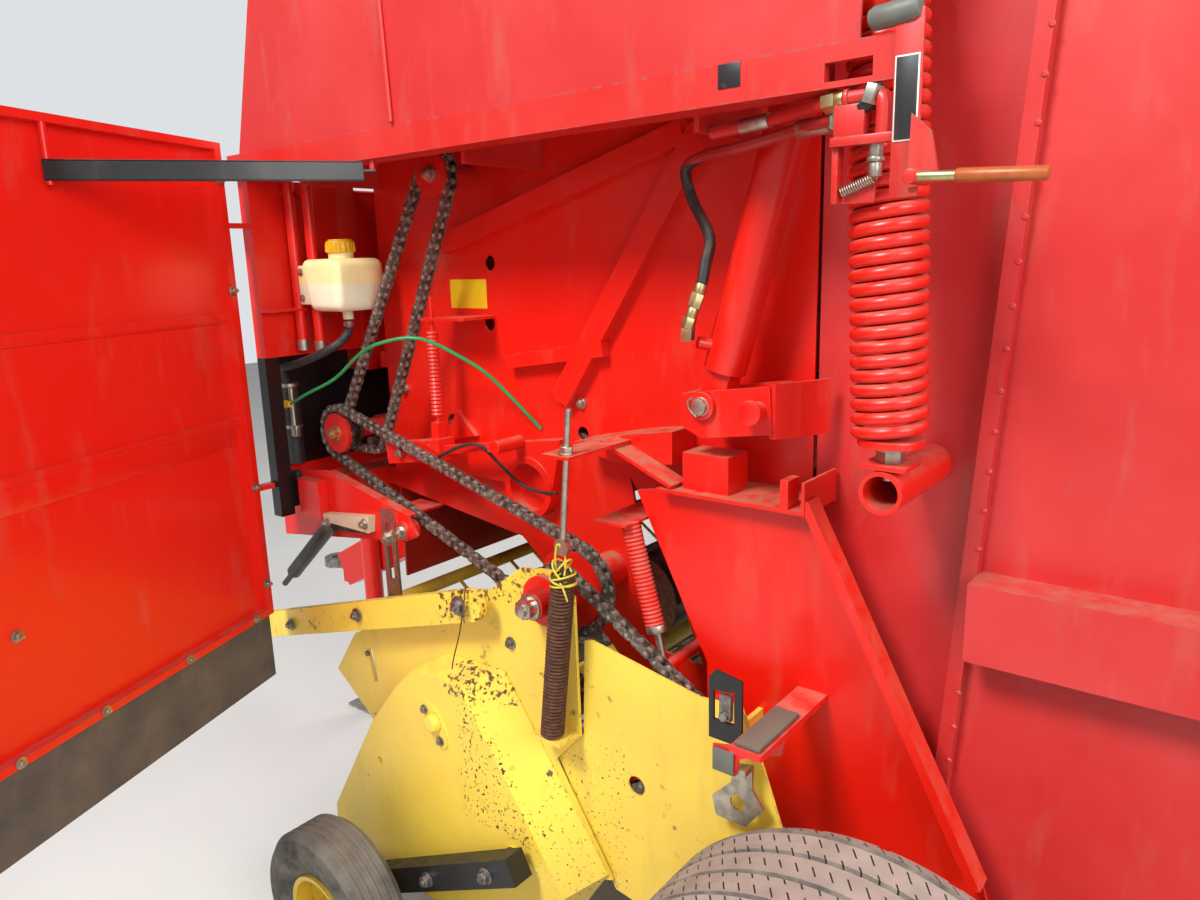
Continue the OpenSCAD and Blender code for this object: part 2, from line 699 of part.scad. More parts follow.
// Tailgate rollers: x, z, radius
gate_roller = [
    [2620, 2260, 55], [3080, 2300, 55], [3390, 1960, 55], [3410, 1380, 55], [3190, 820, 60], [2700, 650, 60]
];

module gate_rollers() {
    lifted() color(steel) for (roller = gate_roller)
        translate([roller[0], wall_in - fit, roller[1]]) rotate([90, 0, 0])
            cylinder(r = roller[2], h = 2 * (wall_in - fit));
}

belt_count = 6;
belt_wide = 178;
belt_thick = 6;
belt_run = [for (i = [len(gate_roller) - 1:-1:0]) gate_roller[i]];

module belts() {
    pitch = (2 * wall_in - 40) / belt_count;
    lifted() color(black) for (i = [0:belt_count - 1])
        side_plate(-wall_in + 20 + i * pitch + (pitch - belt_wide) / 2, belt_wide)
            loop_band(belt_run, 0.3, belt_thick);
}

// Large tension springs on the tailgate: coils around a core, tube, bolt and upper arm
spring_low = 1436;
spring_high = 2060;
coil_count = 30;

module large_spring() {
    pitch = (spring_high - spring_low) / coil_count;
    outer = spring_d / 2;
    dip = spring_wire / 2;
    translate([spring_x, -spring_y, 0]) rotate_extrude() polygon([
        [0, 1300], [12, 1300], [12, spring_low - 12], [outer - 8, spring_low - 12], [outer - 8, spring_low],
        each [for (i = [0:coil_count - 1]) each [[outer - dip, spring_low + i * pitch],
            [outer - 1.5, spring_low + (i + 0.2) * pitch],
            [outer, spring_low + (i + 0.45) * pitch], [outer - 2, spring_low + (i + 0.75) * pitch]]],
        [outer - dip, spring_high], [outer - 8, spring_high + 12], [12, spring_high + 12],
            [12, spring_high + 60], [0, spring_high + 60]]);
    difference() {
        cross_pin(spring_x, 1358, wall_out, 32, spring_y + 36 - wall_out);
        cross_pin(spring_x, 1358, wall_out + 8, 26, spring_y + 40 - wall_out);
    }
    side_box(spring_x - 20, spring_x + 20, wall_out, spring_y + 20, 2110, 2140);
}

module tension_springs() { lifted() color(red) both() union() large_spring(); }

module rear_lamps() {
    lifted() color(dark_red) both() union() {
        side_box(tail_x - 120, tail_x - 20, wall_out, wall_out + 110, 1220, 1226);
        side_box(tail_x - 24, tail_x + 20, wall_out + 10, wall_out + 110, 1226, 1330);
    }
}

// Drive chains and sprockets: x, z, pitch radius
feed_y = chain_y - 45;
pick_y = chain_y + 42;
drive_sprocket = [drive_x, drive_z, 64.7];
feed_sprocket = [drive_x, drive_z, 45.1];
idler_sprocket = [1294, 1270, 28.3];
top_sprocket = [1584, 1894, 49.1];
low_sprocket = [pivot_x, pivot_z, 97.3];
pick_sprocket = [pivot_x, pivot_z, 56.9];
reel_sprocket = [2150, 705, 40];
turn_sprocket = [2300, 860, 40];
chain_half = 10.5;

module chains() {
    lifted() color(black) {
        chain_loop([low_sprocket, drive_sprocket], chain_y);
        chain_loop([feed_sprocket, idler_sprocket, top_sprocket], feed_y);
        chain_loop([pick_sprocket, reel_sprocket, turn_sprocket], pick_y);
    }
}

// A toothed disc in the plane y with a hub of radius boss that starts at the wall
module sprocket(at, y, bore = 0) {
    teeth = round(2 * PI * at[2] / chain_pitch);
    side_plate(y - 6, 12) difference() {
        translate([at[0], at[1]]) polygon([for (k = [0:2 * teeth - 1]) let (way = k * 180 / teeth,
            r = at[2] - chain_half - (k % 2 == 0 ? 0.4 : 5)) [r * cos(way), r * sin(way)]]);
        if (bore > 0) translate([at[0], at[1]]) circle(r = bore);
    }
}

module sprockets() {
    lifted() color(dark_red) {
        union() {
            sprocket(drive_sprocket, chain_y);
            sprocket(feed_sprocket, feed_y);
            cross_pin(drive_x, drive_z, wall_out + 24, 22, chain_y + 12 - wall_out - 24);
            cross_pin(drive_x, drive_z, chain_y + 5, drive_sprocket[2] - chain_half - 3, 8);
            cross_pin(drive_x, drive_z, chain_y + 12, 14, 14);
        }
        union() {
            sprocket(top_sprocket, feed_y);
            cross_pin(top_sprocket[0], top_sprocket[1], wall_out, 22, feed_y - wall_out + 16);
            cross_pin(top_sprocket[0], top_sprocket[1], feed_y + chain_wide / 2 + 1, top_sprocket[2], 6);
            cross_pin(top_sprocket[0], top_sprocket[1], feed_y + chain_wide / 2 + 7, 12, 10);
        }
        union() {
            sprocket(idler_sprocket, feed_y);
            cross_pin(idler_sprocket[0], idler_sprocket[1], feed_y - 19, 11, 43);
        }
        sprocket(low_sprocket, chain_y, pivot_hub_r + fit);
        sprocket(pick_sprocket, pick_y, pivot_hub_r + fit);
        for (at = [reel_sprocket, turn_sprocket]) union() {
            sprocket(at, pick_y);
            cross_pin(at[0], at[1], at[0] > 2280 ? frame_plate_y + 8 + fit : wall_out, 16,
                pick_y - (at[0] > 2280 ? frame_plate_y + 8 + fit : wall_out));
        }
        // Collar and nut at the swivel's end
        cross_pin(pivot_x, pivot_z, hub_end, 30, 32);
        translate([pivot_x, -hub_end - 32, pivot_z]) rotate([90, 0, 0]) cylinder(r = 26, h = 5, $fn = 48);
        translate([pivot_x, -hub_end - 36, pivot_z]) rotate([90, 0, 0]) cylinder(r = 21, h = 20, $fn = 6);
        translate([pivot_x, -hub_end - 50, pivot_z]) rotate([90, 0, 0]) cylinder(r = 12, h = 14);
    }
}

// Tensioner: a box arm that swings on the wall, with the idler at its end and a spring above
module chain_tensioner() {
    lifted() color(red) union() {
        difference() {
            side_plate(feed_y - 25, 50) link_bar([1362, 1245], [1560, 1276], 50);
            side_plate(feed_y - 21, 42) link_bar([1350, 1243], [1550, 1274], 42);
        }
        side_plate(feed_y - 8, 16) link_bar([1550, 1272], [1745, 1302], 20);
        side_plate(feed_y - 24, 5) link_bar([idler_sprocket[0], idler_sprocket[1]], [1400, 1252], 34);
        cross_pin(1738, 1301, wall_out + doubler_thick + fit, 15, feed_y - wall_out - doubler_thick + 20);
        cross_pin(1420, 1254, feed_y + 25, 14, 5);
        cross_pin(1420, 1254, feed_y + 30, 9, 6);
        // Shelf on the wall that the spring hangs from, its rods and its coils
        side_plate(wall_out, 100) link_bar([1502, 1577], [1650, 1580], 7);
        translate([1524, -feed_y + 8, 1330]) cylinder(r = 5, h = 300);
        translate([1524, -feed_y + 8, 1350]) small_coils(15, 11, 22, 200);
        side_box(1512, 1536, feed_y - 20, feed_y + 4, 1268, 1335);
    }
    // Leaning spring beside the wall opening, its bracket and its rod with a ball joint
    lifted() color(red) union() {
        side_box(2063, 2140, wall_out, 775, 1200, 1205);
        translate([2125, -740, 1203]) rotate([0, 164.5, 0]) {
            cylinder(r = 7, h = 296);
            small_coils(20, 15, 26, 210);
        }
        cross_pin(2203, 919, wall_out, 13, 146);
    }
}

// Coils of a small spring: a turned outline with a bulge for each coil
module small_coils(r_out, r_in, count, high) {
    pitch = high / count;
    rotate_extrude() polygon([
        each [for (i = [0:count - 1]) each [[r_in + 1, i * pitch], [r_out, (i + 0.5) * pitch]]],
            [r_in + 1, high], [0, high], [0, 0]]);
}

// Oil bottle on the front frame with its feed line
bottle_x = [1166, 1318];
bottle_y = [652, 796];
bottle_z = [1597, 1722];

module oil_bottle() {
    middle = [(bottle_x[0] + bottle_x[1]) / 2, (bottle_y[0] + bottle_y[1]) / 2];
    lifted() color([0.93, 0.9, 0.78]) union() {
        intersection() {
            side_box(bottle_x[0], bottle_x[1], bottle_y[0], bottle_y[1], bottle_z[0], bottle_z[1]);
            side_plate(bottle_y[0], bottle_y[1] - bottle_y[0]) polygon([
                [bottle_x[0], bottle_z[0] + 30], [bottle_x[0] + 34, bottle_z[0]],
                    [bottle_x[1] - 20, bottle_z[0]],
                [bottle_x[1], bottle_z[0] + 20], [bottle_x[1], bottle_z[1] - 18],
                    [bottle_x[1] - 18, bottle_z[1]],
                [bottle_x[0] + 26, bottle_z[1]], [bottle_x[0], bottle_z[1] - 26]]);
            translate([0, 0, bottle_z[0] - 1]) linear_extrude(height = 200) polygon([
                [bottle_x[0] + 14, -bottle_y[0]], [bottle_x[1] - 14, -bottle_y[0]],
                    [bottle_x[1], -bottle_y[0] - 14],
                [bottle_x[1], -bottle_y[1] + 14], [bottle_x[1] - 14, -bottle_y[1]],
                    [bottle_x[0] + 14, -bottle_y[1]],
                [bottle_x[0], -bottle_y[1] + 14], [bottle_x[0], -bottle_y[0] - 14]]);
        }
        translate([middle[0], -middle[1], bottle_z[1] - 1]) cylinder(r = 30, h = 16);
        translate([middle[0], -middle[1], bottle_z[1] + 14]) cylinder(r = 36, h = 34);
        // Spigot below and ears that are bolted to the pipe
        translate([middle[0] + 8, -middle[1], bottle_z[0] - 22]) cylinder(r = 13, h = 24);
        side_box(1125.3, bottle_x[0] + 2, 763, 775, 1615, 1706);
    }
}

module oil_line() {
    start = [(bottle_x[0] + bottle_x[1]) / 2 + 8, -(bottle_y[0] + bottle_y[1]) / 2, bottle_z[0] - 23.4];
    lifted() color(black) union() {
        hose([start, start + [0, 0, -20], start + [-4, -14, -44], [1236, -766, 1508], [1168, -794, 1478],
            [1100, -799, 1460],
            [1046, -792, 1448], [1026, -772, 1404]], 11);
        translate([1025, 23.3 - frame_side, 1190]) cylinder(r = 23, h = 215);
    }
}

// Hoses of the left lift cylinder
module hydraulic_hoses() {
    lifted() color(black) union() {
        hose([port_end + [-8, -16, 6], port_end + [-4, -16, 40], [2298, -756, 1646], [2300, -742, 1690],
            [2290, -714, 1735],
            [2240, -690, 1800], [2234, -700, 1850], [2290, -728, 1866], [2369, -770, 1866],
                [2480, -800, 1876],
            [2590, -862, 1880], [2632, -878, 1890], [2640, -878, rail_z - rail_high - 2]], 10);
    }
}

module signal_cable() {
    lifted() color([0.2, 0.6, 0.3]) hose([[1095, -812, 1362], [1180, -815, 1395], [1300, -812, 1440],
        [1400, -812, 1500],
        [1470, -800, 1530], [1560, -760, 1540], [1640, -700, 1490], [1690, -660, 1440],
            [1780, -610.3, 1330]], 4, 4, 8);
}

// Valve stand behind the left rail's end with its lever
module valve_stand() {
    lifted() color(red) union() {
        side_box(2655, 2700, side_reach + fit, side_reach + 9, 1776, 1990);
        side_plate(side_reach + 4, 6) polygon([[2690, 1868], [2725, 1856], [2729, 1788], [2700, 1778]]);
        cross_pin(2718, 1792, side_reach + 6, 11, 60);
        translate([2716, -side_reach - 57, 1790]) rotate([0, 93, 0]) cylinder(r = 7, h = 50);
        translate([2748, -side_reach - 57, 1788]) rotate([0, 93, 0]) cylinder(r = 10.5, h = 128);
    }
}

// Catch at the left door's free edge
module door_catch() {
    lifted() color(red) both() union() {
        side_box(2470, 2526, frame_plate_y + 8 + fit, 950, 935, 946);
        side_plate(855, 6) difference() {
            polygon([[2378, 1000], [2390, 1016], [2442, 1008], [2442, 888], [2378, 888]]);
            polygon([[2387, 924], [2428, 924], [2428, 984], [2387, 978]]);
        }
        side_plate(861, 5) polygon([[2389, 833], [2433, 833], [2440, 868], [2520, 905], [2526, 946],
            [2470, 946], [2436, 890], [2389, 880]]);
    }
}

// Rear yellow shields between pickup and wheels
module rear_shields() {
    lifted() color(yellow) both() union() {
        side_plate(shield_y, shield_thick) difference() {
            polygon([[2056, 961], [2075, 966], [2325, 922], [2412, 931], [2458, 822], [2493, 723],
                [2420, 520], [2300, 400],
                [2119, 420], [1974, 672], [2045, 753]]);
            translate([2178, 684]) circle(r = 20);
        }
        side_box(2392, 2402, frame_plate_y + 8 + fit, shield_y + 1, 740, 880);
    }
}

// Pickup: arms on the swivel axis, side plates, cross tube and band carrier
arm_root_x = 1900;
arm_root_z = 441;
arm_root_r = 26;
gauge_arm_y = 900;
guard_pivot = [1778, 995];

module pickup_frame() {
    lifted() color(yellow) union() {
        both() difference() {
            union() {
                side_plate(pick_plate_y, 8) polygon([
                    [1201, 659], [1294, 783], [1742, 1001], [1805, 1015], [1900, 1085], [2000, 1100],
                        [2042, 1050], [2045, 751],
                    [1974, 672], [2119, 450], [1840, 330], [1756, 150], [1690, 150], [1480, 200],
                        [1330, 330], [1338, 558]]);
            }
            side_plate(pick_plate_y - 5, 20) link_bar([1352, 755], [1366, 670], 18);
            cross_pin(pivot_x, pivot_z, pick_plate_y - 10, pivot_hub_r + fit, 40);
        }
        translate([1840, pick_plate_y, 700]) rotate([90, 0, 0]) cylinder(r = 40, h = 2 * pick_plate_y);
        // Cross bars that the bands are bolted to
        translate([1730, -pick_plate_y, reel_z + band_r + fit]) cube([110, 2 * pick_plate_y, 20]);
        translate([1702, -pick_plate_y, reel_z - band_r - fit - 20]) cube([38, 2 * pick_plate_y, 20]);
        translate([reel_x, pick_plate_y, reel_z]) rotate([90, 0, 0]) cylinder(r = 20, h = 2 * pick_plate_y);
        both() {
            // Arms and stubs of the gauge wheels
            cross_pin(arm_root_x, arm_root_z, pick_plate_y, arm_root_r, gauge_arm_y + 2 - pick_plate_y);
            side_plate(gauge_arm_y, 50) link_bar([gauge_x, gauge_z], [1955, 470], 60);
            cross_pin(gauge_x, gauge_z, gauge_arm_y + 40, 11.7, gauge_half + 10 - gauge_arm_y);
            // Ears under the pickup's springs and pivots of the wind guard
            side_box(1965, 2042, pick_plate_y, 878, 752, 760);
            cross_pin(guard_pivot[0], guard_pivot[1], pick_plate_y, 11.7, 886 - pick_plate_y);
        }
    }
}

band_count = 15;
band_r = 235;

module pickup_bands() {
    pitch = 2 * reel_half / (band_count + 1);
    lifted() color(zinc) for (i = [1:band_count]) side_plate(-reel_half + i * pitch - 22, 44) union() {
        difference() {
            translate([reel_x, reel_z]) circle(r = band_r);
            translate([reel_x, reel_z]) circle(r = band_r - 4);
            translate([reel_x, reel_z - 300]) square([400, 600]);
        }
        translate([reel_x - 1, reel_z + band_r - 4]) square([300, 4]);
        translate([reel_x - 1, reel_z - band_r]) square([240, 4]);
    }
}

cover_y = 880;

module pickup_shields() {
    lifted() color(yellow) both() union() {
        difference() {
            hull() {
                side_plate(cover_y - 5, 5) polygon([
                    [1594, 792], [1750, 797], [1793, 739], [1949, 529], [2035, 401], [1960, 300],
                        [1700, 190], [1300, 190],
                    [1222, 229], [1226, 299], [1424, 609], [1525, 728]]);
                side_plate(pick_plate_y + 8 + fit, 4) polygon([
                    [1649, 826], [1838, 839], [2112, 462], [2010, 300], [1740, 180], [1290, 180],
                        [1215, 225], [1220, 300],
                    [1420, 615], [1522, 732]]);
            }
            cross_pin(arm_root_x, arm_root_z, pick_plate_y, arm_root_r + fit, 100);
            cross_pin(1438, 505, cover_y - 20, 9, 40);
        }
        cross_pin(1644, 672, cover_y - 1, 34, 5);
    }
}

module pickup_springs() {
    lifted() color([0.35, 0.25, 0.18]) both() union() {
        translate([2007, -860, 763.8]) rotate([0, 7.6, 0]) small_coils(25, 18, 36, 358);
    }
}

tine_bars = 4;
tine_columns = 16;
tine_ring = 130;

module tine_reel() {
    pitch = 2 * reel_half / tine_columns;
    lifted() color(steel) translate([reel_x, 0, reel_z]) rotate([90, 0, 0]) difference() {
        union() {
            translate([0, 0, -reel_half - 5]) cylinder(r = 70, h = 2 * reel_half + 10);
            for (bar = [0:tine_bars - 1]) rotate(bar * 360 / tine_bars + 20) {
                translate([tine_ring, 0, -reel_half - 5]) cylinder(r = 14, h = 2 * reel_half + 10);
                for (z = [-reel_half, 0, reel_half - 10]) translate([0, -12, z]) cube([tine_ring, 24, 10]);
                for (i = [0:tine_columns - 1]) translate([tine_ring, 0, -reel_half + (i + 0.5) * pitch])
                    rotate([0, 90, 0]) cylinder(r = 4, h = tine_reach - tine_ring);
            }
        }
        translate([0, 0, -reel_half - 10]) cylinder(r = 21, h = 2 * reel_half + 20);
    }
}

// Wind guard: two arms with a cross tube and rods over the reel
module wind_guard() {
    lifted() color(yellow) union() {
        both() side_plate(856, 20) difference() {
            union() {
                link_bar([977, 747], [1796, 995], 70);
                translate([1796, 995]) circle(r = 35);
            }
            translate(guard_pivot) circle(r = 12);
        }
        translate([1332, 876, 846]) rotate([90, 0, 0]) cylinder(r = 18, h = 1752);
        for (y = [-700:100:700]) translate([1332, y, 846]) rotate([0, 125, 0]) cylinder(r = 5, h = 180);
    }
}

// Zinc fittings on the body: slotted link, eyebolt with nuts, hanging strap
module zinc_parts() {
    lifted() color(zinc) both() union() {
        difference() {
            side_plate(frame_side + 8 + fit, 6) link_bar([1452, 905], [1448, 1135], 50);
            side_plate(frame_side, 30) link_bar([1451, 960], [1449, 1100], 18);
        }
    }
    lifted() color(zinc) union() {
        translate([2056, -860, 1185]) rotate([0, 5.6, 0]) cylinder(r = 6.5, h = 256);
        translate([2072, -860, 1353.3]) rotate([0, 0, 0]) cylinder(r = 13, h = 14, $fn = 6);
        cross_pin(2055, 1172, 854, 17, 12);
    }
    lifted() color(zinc) side_plate(835, 6) difference() {
        polygon([[2416, 838], [2452, 846], [2452, 800], [2474, 770], [2440, 724], [2380, 724],
            [2372, 760], [2410, 800]]);
        translate([2424, 764]) circle(r = 15);
    }
    lifted() color(zinc) side_box(2418, 2450, 840.9, 860.9, 834, 845);
}

// Black fittings: dampers of the wind guard with their clamps, and the apron under the front
module black_fittings() {
    lifted() color(black) {
        both() union() {
            side_plate(frame_side + 8 + fit, 20) polygon([[1203, 1088], [1395, 1111], [1389, 1067],
                [1203, 1044]]);
            translate([1232, -822, 1060]) rotate([0, 229.6, 0]) cylinder(r = 19, h = 250);
            translate([1232, -822, 1060]) rotate([0, 229.6, 0]) cylinder(r = 8, h = 320);
        }
        translate([1236.3, fit - wall_in, 860]) cube([6, 2 * (wall_in - fit), 310]);
    }
}

// Main tyre and rim, drawn round the axle's line at the left wheel
rim_r = 204;
groove_deep = 9;
block_count = 24;

module main_tyre() {
    crown = tyre_d / 2;
    half = tyre_w / 2;
    rotate([90, 0, 0]) difference() {
        rotate_extrude() polygon([
            [rim_r + 1, 35 - half], [rim_r + 50, 4 - half], [crown - 95, -half], [crown - 34, 6 - half],
                [crown - 12, 26 - half],
            each [for (at = [-0.6, -0.2, 0.2, 0.6]) each [[crown, at * half - 5],
                [crown - groove_deep, at * half - 4],
                [crown - groove_deep, at * half + 4], [crown, at * half + 5]]],
            [crown - 12, half - 26], [crown - 34, half - 6], [crown - 95, half], [rim_r + 50, half - 4],
                [rim_r + 1, half - 35]]);
        // Notches between the shoulder blocks
        for (k = [0:block_count - 1]) rotate(k * 360 / block_count) for (z = [-half - 10, half - 34])
            translate([crown - 20, -9, z]) cube([40, 18, 44]);
    }
}

module main_rim() {
    rotate([90, 0, 0]) difference() {
        union() {
            rotate_extrude() polygon([
                [30, 0], [30, 20], [90, 20], [150, 40], [rim_r - 14, 40], [rim_r - 14, tyre_w / 2 - 45],
                [rim_r, tyre_w / 2 - 37], [rim_r, 37 - tyre_w / 2], [rim_r - 14, 45 - tyre_w / 2],
                    [rim_r - 14, 20],
                [150, 20], [90, 0]]);
            cylinder(r = 60, h = 90);
        }
        translate([0, 0, -200]) cylinder(r = 30, h = 400);
    }
}

module wheel_at(x, y, z) { lifted() translate([x, y, z]) children(); }

module tyre_left() { wheel_at(axle_x, -track_half, axle_z) color(black) main_tyre(); }
module rim_left() { wheel_at(axle_x, -track_half, axle_z) color(yellow) main_rim(); }
module tyre_right() { wheel_at(axle_x, track_half, axle_z) mirror([0, 1, 0]) color(black) main_tyre(); }
module rim_right() { wheel_at(axle_x, track_half, axle_z) mirror([0, 1, 0]) color(yellow) main_rim(); }

module gauge_tyre() {
    rotate([90, 0, 0]) rotate_extrude() polygon([
        [102, -gauge_w / 2 + 20], [102, gauge_w / 2 - 20], [150, gauge_w / 2],
            [gauge_d / 2 - 14, gauge_w / 2 - 6],
        each [for (at = [0.6, 0.3, 0, -0.3, -0.6]) each [[gauge_d / 2 - 2, gauge_w / 2 * at + 6],
            [gauge_d / 2, gauge_w / 2 * at + 4],
            [gauge_d / 2, gauge_w / 2 * at - 4], [gauge_d / 2 - 5, gauge_w / 2 * at - 7]]],
        [gauge_d / 2 - 14, -gauge_w / 2 + 6], [150, -gauge_w / 2]]);
}

module gauge_rim() {
    rotate([90, 0, 0]) rotate_extrude() polygon([
        [12, -30], [12, 40], [35, 40], [35, 10], [90, 10], [90, 52], [101.5, 54], [101.5, -54],
            [90, -52], [90, 0],
        [35, 0], [35, -30]]);
}

module gauge_tyre_left() { wheel_at(gauge_x, -gauge_half, gauge_z) color(black) gauge_tyre(); }
module gauge_rim_left() { wheel_at(gauge_x, -gauge_half, gauge_z) color(yellow) gauge_rim(); }
module gauge_tyre_right() { wheel_at(gauge_x, gauge_half, gauge_z) mirror([0, 1, 0]) color(black)
    gauge_tyre(); }
module gauge_rim_right() { wheel_at(gauge_x, gauge_half, gauge_z) mirror([0, 1, 0]) color(yellow)
    gauge_rim(); }

drawbar();
towing_eye();
jack_tube();
jack_leg();
gearbox();
front_frame();
twine_box();
twine_lid();
side_walls();
throat_rollers();
axle();
top_rails();
upper_cover();
cylinder_brackets();
door_left();
flap_left();
door_right();
flap_right();
stay_bar();
barrel_left();
rod_left();
barrel_right();
rod_right();
tailgate();
gate_rollers();
belts();
tension_springs();
rear_lamps();
chains();
sprockets();
chain_tensioner();
oil_bottle();
oil_line();
hydraulic_hoses();
signal_cable();
valve_stand();
door_catch();
rear_shields();
zinc_parts();
black_fittings();
pickup_frame();
pickup_bands();
pickup_shields();
pickup_springs();
tine_reel();
wind_guard();
tyre_left();
rim_left();
tyre_right();
rim_right();
gauge_tyre_left();
gauge_rim_left();
gauge_tyre_right();
gauge_rim_right();
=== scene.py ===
"""Looks of the round baler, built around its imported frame.
Lengths are in mm, with heights over the ground, and become metres in the frame."""
import bmesh
import bpy
import math
from mathutils import Matrix, Vector


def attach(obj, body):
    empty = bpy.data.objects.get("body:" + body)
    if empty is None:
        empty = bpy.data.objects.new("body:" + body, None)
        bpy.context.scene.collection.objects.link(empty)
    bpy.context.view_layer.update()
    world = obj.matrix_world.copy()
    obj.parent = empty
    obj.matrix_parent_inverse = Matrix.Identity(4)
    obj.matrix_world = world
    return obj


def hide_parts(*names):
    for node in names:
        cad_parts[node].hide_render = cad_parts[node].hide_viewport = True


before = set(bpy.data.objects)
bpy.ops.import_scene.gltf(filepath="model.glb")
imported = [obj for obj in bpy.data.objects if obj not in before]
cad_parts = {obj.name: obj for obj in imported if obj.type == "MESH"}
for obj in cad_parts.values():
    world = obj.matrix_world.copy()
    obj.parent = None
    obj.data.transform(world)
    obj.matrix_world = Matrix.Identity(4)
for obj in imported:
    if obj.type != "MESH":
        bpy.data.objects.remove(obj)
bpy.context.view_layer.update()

EYE_HEIGHT = 480
# Camera: place, lens and sensor in mm, then heading from +Y toward -X, pitch down and roll in degrees
CAMERA_AT = (3100, -2030, 1700)
LENS_MM, SENSOR_MM = 26.0, 36.0
HEADING, PITCH_DOWN, ROLL = 39.0, 12.34, 1.65


def place(x, y, z):
    """A point given in mm with its height over the ground, in the frame's metres."""
    return Vector((x / 1000, y / 1000, (z - EYE_HEIGHT) / 1000))


# Camera
def aim_camera():
    data = bpy.data.cameras.new("camera")
    data.lens, data.sensor_width = LENS_MM, SENSOR_MM
    heading, pitch, roll = (math.radians(angle) for angle in (HEADING, PITCH_DOWN, ROLL))
    flat = math.cos(pitch)
    look = Vector((-math.sin(heading) * flat, math.cos(heading) * flat, -math.sin(pitch)))
    level = Vector((math.cos(heading), math.sin(heading), 0))
    upright = level.cross(look)
    right = level * math.cos(roll) - upright * math.sin(roll)
    up = level * math.sin(roll) + upright * math.cos(roll)
    camera = bpy.data.objects.new("camera", data)
    turn = Matrix((right, up, -look)).transposed().to_4x4()
    camera.matrix_world = Matrix.Translation(place(*CAMERA_AT)) @ turn
    bpy.context.scene.collection.objects.link(camera)
    bpy.context.scene.camera = camera


aim_camera()


# Material helpers
def colour(code):
    """sRGB hex to linear RGBA."""
    parts = [int(code[i:i + 2], 16) / 255 for i in (1, 3, 5)]
    return [c / 12.92 if c <= 0.04045 else ((c + 0.055) / 1.055) ** 2.4 for c in parts] + [1.0]


def add(tree, kind, links=None, ramp=None, **settings):
    """Adds a node. links maps an input to an output socket, and ramp lists (place, colour)."""
    node = tree.nodes.new("ShaderNode" + kind)
    inputs = settings.pop("inputs", {})
    for name, value in settings.items():
        setattr(node, name, value)
    for name, value in inputs.items():
        node.inputs[name].default_value = value
    for name, socket in (links or {}).items():
        tree.links.new(socket, node.inputs[name])
    if ramp:
        stops = node.color_ramp.elements
        while len(stops) < len(ramp):
            stops.new(0.5)
        for stop, (at, tone) in zip(stops, ramp):
            stop.position, stop.color = at, tone
    return node


def new_material(name, **fixed):
    """A Principled material with its fixed sockets set, and the point on the object."""
    material = bpy.data.materials.new(name)
    material.use_nodes = True
    tree = material.node_tree
    shader = tree.nodes["Principled BSDF"]
    for socket, value in fixed.items():
        shader.inputs[socket.replace("_", " ")].default_value = value
    point = add(tree, "TexCoord").outputs["Object"]
    return material, tree, shader, point


def cycles_per(mm):
    """Noise scale whose features are about so many mm wide, in an object measured in metres."""
    return 1000.0 / mm


BLACK, FULL = [0, 0, 0, 1], [1, 1, 1, 1]


def spots(tree, point, mm, low, high, detail=4.0, stretch=None):
    """A mask from 0 to 1 of noise patches about so many mm wide."""
    if stretch:
        point = add(tree, "Mapping", {"Vector": point}, inputs={"Scale": stretch}).outputs[0]
    cloud = add(tree, "TexNoise", {"Vector": point},
                inputs={"Scale": cycles_per(mm), "Detail": detail, "Roughness": 0.6}).outputs["Fac"]
    return add(tree, "ValToRGB", {"Fac": cloud}, ramp=[(low, BLACK), (high, FULL)]).outputs[0]


def mixed(tree, mask, first, second):
    """Colour mix of two sockets or colours by a mask."""
    node = add(tree, "Mix", {"Factor": mask}, data_type="RGBA")
    for number, tone in ((6, first), (7, second)):
        if isinstance(tone, (list, tuple)):
            node.inputs[number].default_value = tone
        else:
            tree.links.new(tone, node.inputs[number])
    return node.outputs[2]


def times(tree, a, b):
    node = add(tree, "Math", {0: a}, operation="MULTIPLY")
    if isinstance(b, (int, float)):
        node.inputs[1].default_value = b
    else:
        tree.links.new(b, node.inputs[1])
    return node.outputs[0]


def upward(tree):
    """1 on faces that look up, where dust settles."""
    normal = add(tree, "NewGeometry").outputs["Normal"]
    height = add(tree, "SeparateXYZ", {0: normal}).outputs[2]
    return add(tree, "MapRange", {0: height}, inputs={1: 0.3, 2: 0.95}).outputs[0]


def edge_wear(tree, mm, low=0.02, high=0.12):
    """1 along sharp edges, from the difference between the face and a rounded edge."""
    soft = add(tree, "Bevel", samples=4, inputs={"Radius": mm / 1000}).outputs[0]
    hard = add(tree, "NewGeometry").outputs["Normal"]
    dot = add(tree, "VectorMath", {0: soft, 1: hard}, operation="DOT_PRODUCT").outputs["Value"]
    apart = add(tree, "Math", {1: dot}, operation="SUBTRACT", inputs={0: 1.0}).outputs[0]
    return add(tree, "MapRange", {0: apart}, inputs={1: low, 2: high}).outputs[0]


def set_tone(tree, shader, tone):
    tree.links.new(tone, shader.inputs["Base Color"])


def set_rough(tree, shader, mask, low, high):
    """Roughness from low to high as the mask goes from 0 to 1."""
    spread = add(tree, "MapRange", {0: mask}, inputs={3: low, 4: high}).outputs[0]
    tree.links.new(spread, shader.inputs["Roughness"])


def bumped(tree, shader, *layers):
    """Chains bumps: each layer is (height socket, strength, depth in mm)."""
    last = None
    for height, strength, depth in layers:
        links = {"Height": height}
        if last:
            links["Normal"] = last
        last = add(tree, "Bump", links, inputs={"Strength": strength, "Distance": depth / 1000}).outputs[0]
    tree.links.new(last, shader.inputs["Normal"])


def noise(tree, point, mm, detail=3.0):
    cloud = add(tree, "TexNoise", {"Vector": point}, inputs={"Scale": cycles_per(mm), "Detail": detail})
    return cloud.outputs["Fac"]


